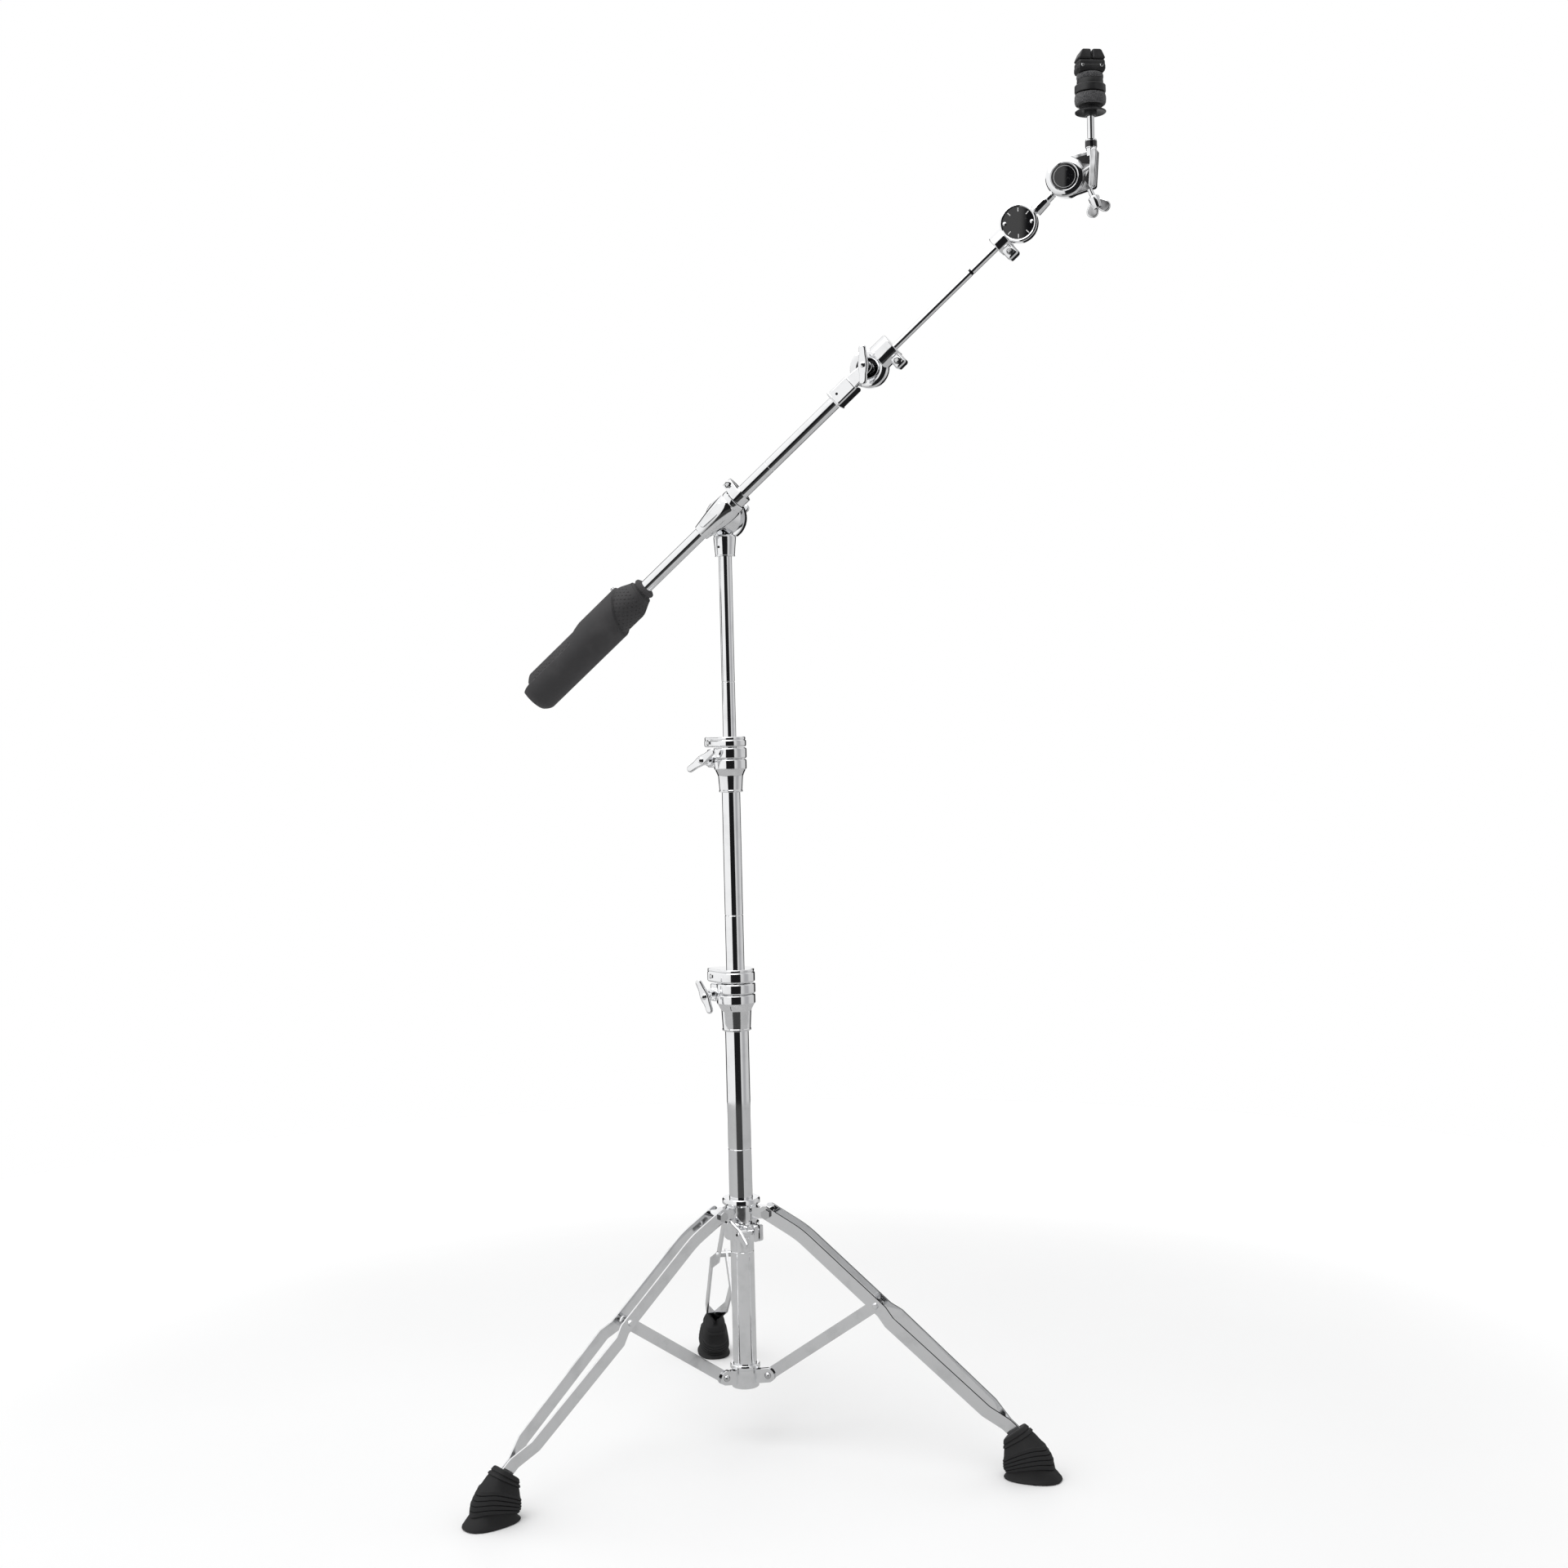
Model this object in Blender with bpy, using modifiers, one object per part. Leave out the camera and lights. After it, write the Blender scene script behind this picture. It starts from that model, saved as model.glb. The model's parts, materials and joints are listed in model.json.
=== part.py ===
"""Double-braced cymbal boom stand: tripod, three mast sections, counterweighted boom, hinge joints and felt stack.

The mast stands on the Z axis, the floor is z = 0, and every length is in metres.
"""

import math

import bmesh
import bpy
from mathutils import Matrix, Vector

for leftover in list(bpy.data.objects):
    bpy.data.objects.remove(leftover, do_unlink=True)

# --- Clearances ---------------------------------------------------------------------------------------------
GAP = 0.0003  # between pieces that touch or slide
AXLE_RADIUS = 0.0030
AXLE_HOLE = AXLE_RADIUS + GAP

# --- Tubes: outer radius and wall ------------------------------------------------------------------------------
TUBE_WALL = 0.0012
BASE_TUBE_RADIUS = 0.0143
MIDDLE_TUBE_ROOM = 0.0020  # each tube slides inside the one below it, with this much room round it
UPPER_TUBE_ROOM = 0.00195
MIDDLE_TUBE_RADIUS = BASE_TUBE_RADIUS - TUBE_WALL - MIDDLE_TUBE_ROOM
UPPER_TUBE_RADIUS = MIDDLE_TUBE_RADIUS - TUBE_WALL - UPPER_TUBE_ROOM
BOOM_TUBE_RADIUS = 0.00795
ROD_RADIUS = 0.0040

# --- Mast heights ----------------------------------------------------------------------------------------------
BASE_TUBE_BOTTOM = 0.0740
LOWER_CLAMP_BOTTOM = 0.5062
UPPER_CLAMP_BOTTOM = 0.7942
MIDDLE_TUBE_BOTTOM = 0.3700
UPPER_TUBE_BOTTOM = 0.6200
TILTER_SOCKET_BOTTOM = 0.0468  # below the boom axis
BOOM_HEIGHT = 1.1233

# --- Mast clamps: socket, cone, housing, ring ------------------------------------------------------------------
LOWER_SOCKET = 0.0266
LOWER_CONE = 0.0054
LOWER_HOUSING = 0.0258
LOWER_RING = 0.0170
LOWER_BODY_RADIUS = MIDDLE_TUBE_RADIUS + 0.0124
UPPER_SOCKET = 0.0210
UPPER_CONE = 0.0060
UPPER_HOUSING = 0.0268
UPPER_RING = 0.0128
UPPER_BODY_RADIUS = UPPER_TUBE_RADIUS + 0.01185
EAR_AZIMUTH = math.radians(155)
EAR_RADIUS = 0.0095
SLOT_WIDTH = 0.0020
BUSHING_WALL = 0.0017

# --- Tripod ----------------------------------------------------------------------------------------------------
LEG_AZIMUTHS = [math.radians(angle) for angle in (-23, 97, -143)]
LEG_PIVOT_RADIUS = 0.0370
TOE_HEIGHT = 0.0435158  # of the bars' lower ends above the floor
LEG_UPPER_SLOPE = math.radians(27.7)
LEG_LOWER_SLOPE = math.radians(39.6)
LEG_BEND_AT = 0.0465  # along the leg from its pivot
LEG_BEND_RADIUS = 0.110
LEG_TAIL = 0.0095
LEG_LENGTH = 0.3945
BAR_WIDTH = 0.0150
BAR_THICKNESS = 0.0025
LUG_HALF_WIDTH = 0.0084
BAR_OFFSET = LUG_HALF_WIDTH + GAP + BAR_THICKNESS / 2
FORK_OFFSET = 0.0175
FORK_END_OFFSET = 0.0135
TOE_OFFSET = BAR_THICKNESS / 2 + 0.0004
RIVET_AT = 0.1695
FORK_STARTS = RIVET_AT + 0.0095
FORK_RAMP = 0.0150
TOE_STARTS = 0.3420
TOE_RAMP = 0.0270
PIVOT_RADIUS = 0.0032
PIVOT_HEAD = 0.0062
PIVOT_HEAD_THICKNESS = 0.0036

STAY_PIVOT_RADIUS = 0.0310
STAY_PIVOT_HEIGHT = 0.0880
STAY_WIDTH = 0.0140
STAY_THICKNESS = 0.0030
STAY_RIVET_RADIUS = 0.0025
SPACER_RADIUS = 0.0040

COLLAR_ABOVE_PIVOT = 0.0160
COLLAR_BELOW_PIVOT = 0.0335
CLAMP_BELOW_PIVOT = 0.0120
BOLT_BELOW_PIVOT = 0.0205
COLLAR_FLANGE_WALL = 0.0087  # the collar's walls stand outside the base tube's radius
COLLAR_BARREL_WALL = 0.0052
COLLAR_CLAMP_WALL = 0.0070
COLLAR_EAR_AZIMUTH = math.radians(-53)
COLLAR_EAR_REACH = 0.0345
COLLAR_BOLT_AT = 0.0285

STAY_COLLAR_BOTTOM = 0.0720
STAY_COLLAR_TOP = 0.0954
STAY_FLANGE_TOP = 0.1004
STAY_FLANGE_WALL = 0.0040
STAY_COLLAR_WALL = 0.0022
STAY_EAR_PLATE = 0.0025
STAY_EAR_RADIUS = 0.0085

FOOT_HEIGHT = 0.0520
FOOT_CENTRE = 0.0106223  # beyond the bars' lower ends
FOOT_HALF_LENGTH = 0.0325
FOOT_HALF_WIDTH = 0.0205
FOOT_TOP_CENTRE = -0.0113777
FOOT_TOP_HALF_LENGTH = 0.0140
FOOT_TOP_HALF_WIDTH = 0.0125
FOOT_TOP_TILT = math.radians(38)
FOOT_CORNERS = 2.8

# --- Main tilter and boom, lengths along the boom from the tilter axis -------------------------------------------
BOOM_AZIMUTH = math.radians(-20)
BOOM_ELEVATION = math.radians(40)
BOOM_CLEARS_MAST = 0.0051  # the boom passes in front of the upper tube
TILTER_DISC_RADIUS = 0.0255
TILTER_DISC_THICKNESS = 0.0100
TILTER_FACE_WALL = 0.01435  # from the boom tube to the tilter's two meeting faces
TILTER_WING_REACH = 0.0177  # from the disc's back to the wing's hub
SLEEVE_BOSS_RADIUS = 0.0210
SLEEVE_HALF_LENGTH = 0.0290
SLEEVE_END_WALL = 0.00225
SLEEVE_BELLY_WALL = 0.00885
STOP_RING_LENGTH = 0.0120
STOP_RING_WALL = 0.00465
STOP_EAR_WALL = 0.00905  # to the middle of the stop ring's ear
STOP_EAR_RADIUS = 0.0062
BOOM_TUBE_START = -0.2700
BOOM_TUBE_END = 0.2120
WEIGHT_TOP = -0.1240
WEIGHT_CORE_TOP = -0.1450
WEIGHT_CORE_LENGTH = 0.1550
WEIGHT_CORE_RADIUS = 0.0170
WEIGHT_RADIUS = 0.0233
WEIGHT_WRAP_RADIUS = 0.0258
WEIGHT_END_CAP = 0.0225
WEIGHT_SCREW_AT = -0.1580
WEIGHT_SCREW_RADIUS = 0.0025

# --- Knuckle, rod and angle joint --------------------------------------------------------------------------------
KNUCKLE_AT = 0.2490
KNUCKLE_RADIUS = 0.0230
KNUCKLE_OPENING = 0.0108
KNUCKLE_BACK = -0.0080
KNUCKLE_FRONT = 0.0060
KNUCKLE_ARM_THICKNESS = 0.0072
KNUCKLE_ARM_WALL = 0.00225
KNUCKLE_SOCKET_START = 0.1940
ROD_DROP = -0.0027  # the rod runs a little below the boom axis
ROD_CLAMP_START = 0.0140
ROD_CLAMP_END = 0.0385
ROD_SEAT = 0.0165
ANGLE_AT = 0.2318  # from the knuckle
ANGLE_RADIUS = 0.0215
ANGLE_FRONT = 0.0090
ANGLE_BACK = -0.0010
DIAL_RADIUS = 0.0186
DIAL_DEPTH = 0.0010
STEM_DISC_RADIUS = 0.0190
STEM_DISC_THICKNESS = 0.0072
STEM_DEPTH = -0.0050
STEM_SOCKET_RADIUS = 0.0072
STEM_NECK_RADIUS = 0.0046
STEM_END = 0.0468
SWIVEL_RADIUS = 0.0028
HEAD_AT = 0.0699  # from the angle joint, along the stem
HEAD_DISC_RADIUS = 0.0200
HEAD_RADIUS = 0.0219
HEAD_THICKNESS = 0.0112
SPINE_TOP = (0.0340, 0.0240)
SPINE_BOTTOM = (0.0314, -0.0120)
SPINE_RADIUS = 0.0030
CYMBAL_AXIS = 0.0293
CYMBAL_DEPTH = 0.0062
ROD_SOCKET_TOP = 0.0388
ROD_SOCKET_RADIUS = 0.0062
HEAD_BOLT_SLOPE = math.radians(22.6)

# --- Felt stack, heights above the head's pivot --------------------------------------------------------------------
CONE_BOTTOM = 0.0632
CONE_HEIGHT = 0.0126
CONE_RADIUS = 0.0171
LOWER_FELT_HEIGHT = 0.0120
FELT_RADIUS = 0.0170
SLEEVE_RADIUS = 0.0063
FLANGE_HEIGHT = 0.0080
SPACER_HEIGHT = 0.0066
UPPER_FELT_HEIGHT = 0.0068
UPPER_FELT_RADIUS = 0.0144
NUT_WIDTH = 0.0300
NUT_DEPTH = 0.0220
NUT_HEIGHT = 0.0135
NUT_TURN = math.radians(25)
LOBE_HEIGHT = 0.0128
LOBE_SLOT = 0.0032
LEVER_PIN_AT = 0.0105

parts = bpy.data.collections.new("cymbal_boom_stand")
shapes = bpy.data.collections.new("cutters_and_blanks")
bpy.context.scene.collection.children.link(parts)
bpy.context.scene.collection.children.link(shapes)


def finish(name, color, roughness, metallic):
    material = bpy.data.materials.new(name)
    material.use_nodes = True
    shader = material.node_tree.nodes["Principled BSDF"]
    shader.inputs["Base Color"].default_value = (*color, 1)
    shader.inputs["Roughness"].default_value = roughness
    shader.inputs["Metallic"].default_value = metallic
    return material


CHROME = ("chrome", (0.83, 0.84, 0.85), 0.08, 1.0)
STEEL = ("steel", (0.62, 0.63, 0.64), 0.30, 1.0)
RUBBER = ("rubber", (0.030, 0.030, 0.032), 0.75, 0.0)
PLASTIC = ("black_plastic", (0.025, 0.025, 0.027), 0.45, 0.0)
NYLON = ("nylon", (0.75, 0.74, 0.70), 0.50, 0.0)
FELT = ("felt", (0.075, 0.075, 0.080), 0.95, 0.0)


# --- Frames and placing --------------------------------------------------------------------------------------------
def frame(name, parent, place):
    """An empty that later pieces hang from: its origin lies on the joint axis."""
    empty = bpy.data.objects.new(name, None)
    empty.parent = parent
    empty.matrix_basis = place
    empty.empty_display_size = 0.02
    parts.objects.link(empty)
    return empty


def axes(origin, x_axis, y_axis, z_axis):
    turn = Matrix((x_axis, y_axis, z_axis)).transposed()
    return Matrix.Translation(origin) @ turn.to_4x4()


def aim(origin, direction, turn=0.0):
    """Local +Z along a direction, turned about it."""
    quat = Vector(direction).to_track_quat("Z", "Y")
    return Matrix.Translation(origin) @ quat.to_matrix().to_4x4() @ Matrix.Rotation(turn, 4, "Z")


def around_z(angle, origin=(0, 0, 0)):
    return Matrix.Translation(origin) @ Matrix.Rotation(angle, 4, "Z")


ALONG_X = axes((0, 0, 0), (0, 1, 0), (0, 0, 1), (1, 0, 0))
ACROSS_Y = axes((0, 0, 0), (1, 0, 0), (0, 0, -1), (0, 1, 0))


# --- Shapes --------------------------------------------------------------------------------------------------------
def keep(name, mesh, parent, place, look):
    """Puts a mesh in the model. Without a look it is a blank that cuts or joins another piece."""
    obj = bpy.data.objects.new(name, mesh)
    obj.parent = parent
    obj.matrix_basis = place
    if look:
        material = bpy.data.materials.get(look[0]) or finish(*look)
        mesh.materials.append(material)
        parts.objects.link(obj)
    else:
        obj.hide_render = True
        obj.display_type = "WIRE"
        shapes.objects.link(obj)
    return obj


def from_bmesh(name, bm, parent, place, look):
    bmesh.ops.recalc_face_normals(bm, faces=bm.faces)
    mesh = bpy.data.meshes.new(name)
    bm.to_mesh(mesh)
    bm.free()
    mesh.shade_smooth()
    mesh.set_sharp_from_angle(angle=math.radians(35))
    return keep(name, mesh, parent, place, look)


def add_cylinder(bm, x, y, radius, low, high, segments=20, top_radius=None):
    bmesh.ops.create_cone(
        bm,
        cap_ends=True,
        segments=segments,
        radius1=radius,
        radius2=radius if top_radius is None else top_radius,
        depth=high - low,
        matrix=Matrix.Translation((x, y, (low + high) / 2)),
    )


def cylinder(name, radius, low, high, parent, place=Matrix(), look=None, segments=20, top_radius=None):
    bm = bmesh.new()
    add_cylinder(bm, 0, 0, radius, low, high, segments, top_radius)
    return from_bmesh(name, bm, parent, place, look)


def hull(name, circles, low, high, parent, place=Matrix(), look=None, segments=20):
    """A plate whose outline wraps the given circles (x, y, radius)."""
    bm = bmesh.new()
    for x, y, radius in circles:
        add_cylinder(bm, x, y, radius, low, high, segments)
    wrapped = bmesh.ops.convex_hull(bm, input=bm.verts)
    inside = set(wrapped["geom_interior"]) | set(wrapped["geom_unused"])
    bmesh.ops.delete(bm, geom=[item for item in inside if isinstance(item, bmesh.types.BMVert)], context="VERTS")
    old = [face for face in bm.faces if face not in set(wrapped["geom"])]
    bmesh.ops.delete(bm, geom=old, context="FACES_ONLY")
    bmesh.ops.dissolve_limit(bm, angle_limit=math.radians(0.5), verts=bm.verts, edges=bm.edges)
    return from_bmesh(name, bm, parent, place, look)


def block(name, low, high, parent, place=Matrix(), look=None, bevel=0.0):
    """A box between two corners, its edges eased by a bevel."""
    size = Vector(high) - Vector(low)
    middle = (Vector(high) + Vector(low)) / 2
    bm = bmesh.new()
    bmesh.ops.create_cube(bm, size=1, matrix=Matrix.Translation(middle) @ Matrix.Diagonal((*size, 1)))
    if bevel:
        bmesh.ops.bevel(bm, geom=bm.edges, offset=bevel, segments=2, profile=0.5, affect="EDGES")
    return from_bmesh(name, bm, parent, place, look)


def turned(name, profile, parent, place=Matrix(), look=None, segments=24, closed=True):
    """A lathe profile of (radius, height) points, down the outer side and up the bore, swept round local Z."""
    mesh = bpy.data.meshes.new(name)
    bm = bmesh.new()
    verts = [bm.verts.new((radius, 0, height)) for radius, height in profile]
    for first, second in zip(verts, verts[1:]):
        bm.edges.new((first, second))
    if closed:
        bm.edges.new((verts[-1], verts[0]))
    bm.to_mesh(mesh)
    bm.free()
    obj = keep(name, mesh, parent, place, look)
    screw = obj.modifiers.new("lathe", "SCREW")
    screw.axis = "Z"
    screw.steps = segments
    screw.render_steps = segments
    screw.use_merge_vertices = True
    screw.merge_threshold = 0.00001
    screw.use_smooth_shade = True
    return obj


def tube(name, radius, wall, low, high, parent, place=Matrix(), look=CHROME, segments=24):
    inner = radius - wall
    return turned(name, [(radius, high), (radius, low), (inner, low), (inner, high)], parent, place, look, segments)


def combine(obj, operation, others):
    for other in others:
        step = obj.modifiers.new(operation.lower(), "BOOLEAN")
        step.operation = operation
        step.object = other
        step.solver = "EXACT"
    return obj


def weld(obj, *others):
    return combine(obj, "UNION", others)


def carve(obj, *others):
    return combine(obj, "DIFFERENCE", others)


def wing_bolt(name, parent, place, half_span, shank, look=CHROME, hub=0.0058, tip=0.0040):
    """A wing across local X, its hub on local Z and its shank towards +Z."""
    reach = half_span - tip
    wing = hull(name, [(0, 0, hub), (reach, 0, tip), (-reach, 0, tip)], -0.0028, 0.0028, parent, place, look, 16)
    boss = cylinder(name + "_hub", hub, 0.0010, 0.0075, parent, place, segments=16)
    stud = cylinder(name + "_stud", AXLE_RADIUS, 0.0060, shank, parent, place, segments=16)
    return weld(wing, boss, stud)


# --- The stand's frames --------------------------------------------------------------------------------------------
stand = frame("stand", None, Matrix())
ROOT = Matrix()


# --- Base tube and stay collar ---------------------------------------------------------------------------------------
def ring_of_ears(parent):
    """Two plates for each stay, standing out of the stay collar."""
    ears = []
    inner = STAY_THICKNESS / 2 + GAP
    for azimuth in LEG_AZIMUTHS:
        for side in (-1, 1):
            low, high = sorted((side * inner, side * (inner + STAY_EAR_PLATE)))
            root = (BASE_TUBE_RADIUS + 0.0040, STAY_PIVOT_HEIGHT - 0.0022, STAY_EAR_RADIUS)
            tip = (STAY_PIVOT_RADIUS, STAY_PIVOT_HEIGHT, STAY_EAR_RADIUS)
            place = around_z(azimuth) @ axes((0, 0, 0), (1, 0, 0), (0, 0, 1), (0, -1, 0))
            ears.append(hull("ear", [root, tip], low, high, parent, place, segments=16))
    return ears


def pivot_hole(radius, azimuth, reach, height, half_length, parent):
    place = around_z(azimuth) @ Matrix.Translation((reach, 0, height)) @ ACROSS_Y
    return cylinder("pivot_hole", radius, -half_length, half_length, parent, place, segments=16)


def make_base():
    lower_seat = LOWER_CLAMP_BOTTOM + LOWER_SOCKET - 0.0010
    tube("base_tube", BASE_TUBE_RADIUS, TUBE_WALL, BASE_TUBE_BOTTOM, lower_seat, stand)
    bore = BASE_TUBE_RADIUS + GAP
    outer = BASE_TUBE_RADIUS + STAY_COLLAR_WALL
    flange = BASE_TUBE_RADIUS + STAY_FLANGE_WALL
    profile = [
        (0, STAY_FLANGE_TOP),
        (flange - 0.0010, STAY_FLANGE_TOP),
        (flange, STAY_FLANGE_TOP - 0.0010),
        (flange, STAY_COLLAR_TOP),
        (outer, STAY_COLLAR_TOP - 0.0015),
        (outer, STAY_COLLAR_BOTTOM),
        (0, STAY_COLLAR_BOTTOM),
    ]
    collar = turned("stay_collar", profile, stand, look=CHROME, closed=False)
    weld(collar, *ring_of_ears(stand))
    cut = cylinder("collar_bore", bore, STAY_COLLAR_BOTTOM - 0.01, STAY_FLANGE_TOP + 0.01, stand, segments=24)
    holes = [
        pivot_hole(STAY_RIVET_RADIUS + GAP, azimuth, STAY_PIVOT_RADIUS, STAY_PIVOT_HEIGHT, 0.010, stand)
        for azimuth in LEG_AZIMUTHS
    ]
    carve(collar, cut, *holes)


# --- Leg path ----------------------------------------------------------------------------------------------------------
BEND_ANGLE = LEG_LOWER_SLOPE - LEG_UPPER_SLOPE
BEND_LENGTH = LEG_BEND_RADIUS * BEND_ANGLE


def leg_point(along):
    """Outward distance, drop and slope of the bar's centre line, measured from the leg pivot."""
    first = LEG_BEND_AT - BEND_LENGTH / 2
    if along <= first:
        return along * math.cos(LEG_UPPER_SLOPE), -along * math.sin(LEG_UPPER_SLOPE), LEG_UPPER_SLOPE
    turn = min((along - first) / LEG_BEND_RADIUS, BEND_ANGLE)
    slope = LEG_UPPER_SLOPE + turn
    out = first * math.cos(LEG_UPPER_SLOPE) + LEG_BEND_RADIUS * (math.sin(slope) - math.sin(LEG_UPPER_SLOPE))
    drop = first * math.sin(LEG_UPPER_SLOPE) + LEG_BEND_RADIUS * (math.cos(LEG_UPPER_SLOPE) - math.cos(slope))
    rest = max(0.0, along - first - BEND_LENGTH)
    return out + rest * math.cos(slope), -drop - rest * math.sin(slope), slope


toe_reach, toe_drop, _ = leg_point(LEG_LENGTH)
LEG_PIVOT_HEIGHT = TOE_HEIGHT - toe_drop
TOE_REACH = LEG_PIVOT_RADIUS + toe_reach
LEG_LIFT = Vector((0, 0, LEG_PIVOT_HEIGHT))


def bar_offset(along):
    """How far a bar stands from the leg's middle plane: close, then forked, then closed at the toe."""
    knots = [
        (-LEG_TAIL, BAR_OFFSET),
        (FORK_STARTS, BAR_OFFSET),
        (FORK_STARTS + FORK_RAMP, FORK_OFFSET),
        (TOE_STARTS, FORK_END_OFFSET),
        (TOE_STARTS + TOE_RAMP, TOE_OFFSET),
        (LEG_LENGTH, TOE_OFFSET),
    ]
    for (start, low), (stop, high) in zip(knots, knots[1:]):
        if along <= stop:
            return low + (high - low) * (along - start) / (stop - start)
    return TOE_OFFSET


def bar_stations():
    first = LEG_BEND_AT - BEND_LENGTH / 2
    bend = [first + BEND_LENGTH * step / 3 for step in range(4)]
    fork = [FORK_STARTS, FORK_STARTS + FORK_RAMP]
    return bend + fork + [TOE_STARTS, TOE_STARTS + TOE_RAMP]


def leg_bar(name, side, parent):
    """A straight bar, cut across at each bend and then bent along the leg's path."""
    bm = bmesh.new()
    length = LEG_LENGTH + LEG_TAIL
    middle = Matrix.Translation(((LEG_LENGTH - LEG_TAIL) / 2, 0, 0))
    bmesh.ops.create_cube(bm, size=1, matrix=middle @ Matrix.Diagonal((length, BAR_THICKNESS, BAR_WIDTH, 1)))
    corners = [
        edge
        for edge in bm.edges
        if all(vert.co.x < 0 for vert in edge.verts) and abs(edge.verts[0].co.z - edge.verts[1].co.z) < 0.001
    ]
    bmesh.ops.bevel(bm, geom=corners, offset=0.0055, segments=3, profile=0.5, affect="EDGES")
    for station in bar_stations():
        everything = bm.verts[:] + bm.edges[:] + bm.faces[:]
        bmesh.ops.bisect_plane(bm, geom=everything, plane_co=(station, 0, 0), plane_no=(1, 0, 0))
    for vert in bm.verts:
        along, across, width = vert.co
        out, height, slope = leg_point(along)
        vert.co.x = out + width * math.sin(slope)
        vert.co.y = side * bar_offset(along) + across
        vert.co.z = height + width * math.cos(slope)
    bar = from_bmesh(name, bm, parent, Matrix(), CHROME)
    out, height, slope = leg_point(RIVET_AT)
    outside = side * (BAR_OFFSET + BAR_THICKNESS / 2)
    base = Matrix.Translation((out, outside, height))
    head = cylinder(
        name + "_rivet", 0.0044, -0.0008, 0.0022, parent, base @ aim((0, 0, 0), (0, side, 0)), top_radius=0.0026
    )
    weld(bar, head)
    hole = cylinder("hole", PIVOT_RADIUS + GAP, -0.02, 0.02, parent, ACROSS_Y, segments=16)
    carve(bar, hole)
    return bar


def foot_section(share):
    """Centre, tilt and half sizes of the rubber boot's outline, from its top (0) to its sole (1)."""
    ease = math.sin(share * math.pi / 2)
    centre = TOE_REACH + FOOT_TOP_CENTRE + (FOOT_CENTRE - FOOT_TOP_CENTRE) * share**0.9
    length = FOOT_TOP_HALF_LENGTH + (FOOT_HALF_LENGTH - FOOT_TOP_HALF_LENGTH) * share**0.8
    width = FOOT_TOP_HALF_WIDTH + (FOOT_HALF_WIDTH - FOOT_TOP_HALF_WIDTH) * ease
    return centre, FOOT_TOP_TILT * (1 - share) ** 0.8, length, width


def foot(name, parent, place):
    bm = bmesh.new()
    rings = []
    count = 20
    levels = [0.0, 0.12, 0.3, 0.48, 0.66, 0.82, 0.93, 1.0]
    for share in levels:
        centre, tilt, length, width = foot_section(share)
        if share == levels[-1]:
            length -= 0.0012
            width -= 0.0012
        ring = []
        for step in range(count):
            angle = 2 * math.pi * step / count
            cosine = math.cos(angle)
            sine = math.sin(angle)
            x = length * math.copysign(abs(cosine) ** (2 / FOOT_CORNERS), cosine)
            y = width * math.copysign(abs(sine) ** (2 / FOOT_CORNERS), sine)
            height = FOOT_HEIGHT * (1 - share) ** 0.95
            ring.append(bm.verts.new((centre + x * math.cos(tilt), y, height + x * math.sin(tilt))))
        rings.append(ring)
    for upper, lower in zip(rings, rings[1:]):
        for step in range(count):
            after = (step + 1) % count
            bm.faces.new((upper[step], upper[after], lower[after], lower[step]))
    bm.faces.new(rings[0])
    bm.faces.new(rings[-1])
    boot = from_bmesh(name, bm, parent, place, RUBBER)
    return boot


def boot_socket(parent):
    """The slot in the boot that takes the two bar ends."""
    out, height, slope = leg_point(LEG_LENGTH)
    half = TOE_OFFSET + BAR_THICKNESS / 2 + GAP
    width = BAR_WIDTH / 2 + GAP
    depth = 0.060
    place = Matrix.Translation((out, 0, height)) @ Matrix.Rotation(slope, 4, "Y")
    return block("socket", (-depth, -half, -width), (GAP, half, width), parent, place)


def stay_geometry():
    """Length and slope of a stay, from its collar pivot up to the leg's rivet."""
    out, height, slope = leg_point(RIVET_AT)
    run = LEG_PIVOT_RADIUS + out - STAY_PIVOT_RADIUS
    rise = LEG_PIVOT_HEIGHT + height - STAY_PIVOT_HEIGHT
    return math.hypot(run, rise), math.atan2(rise, run)


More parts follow.
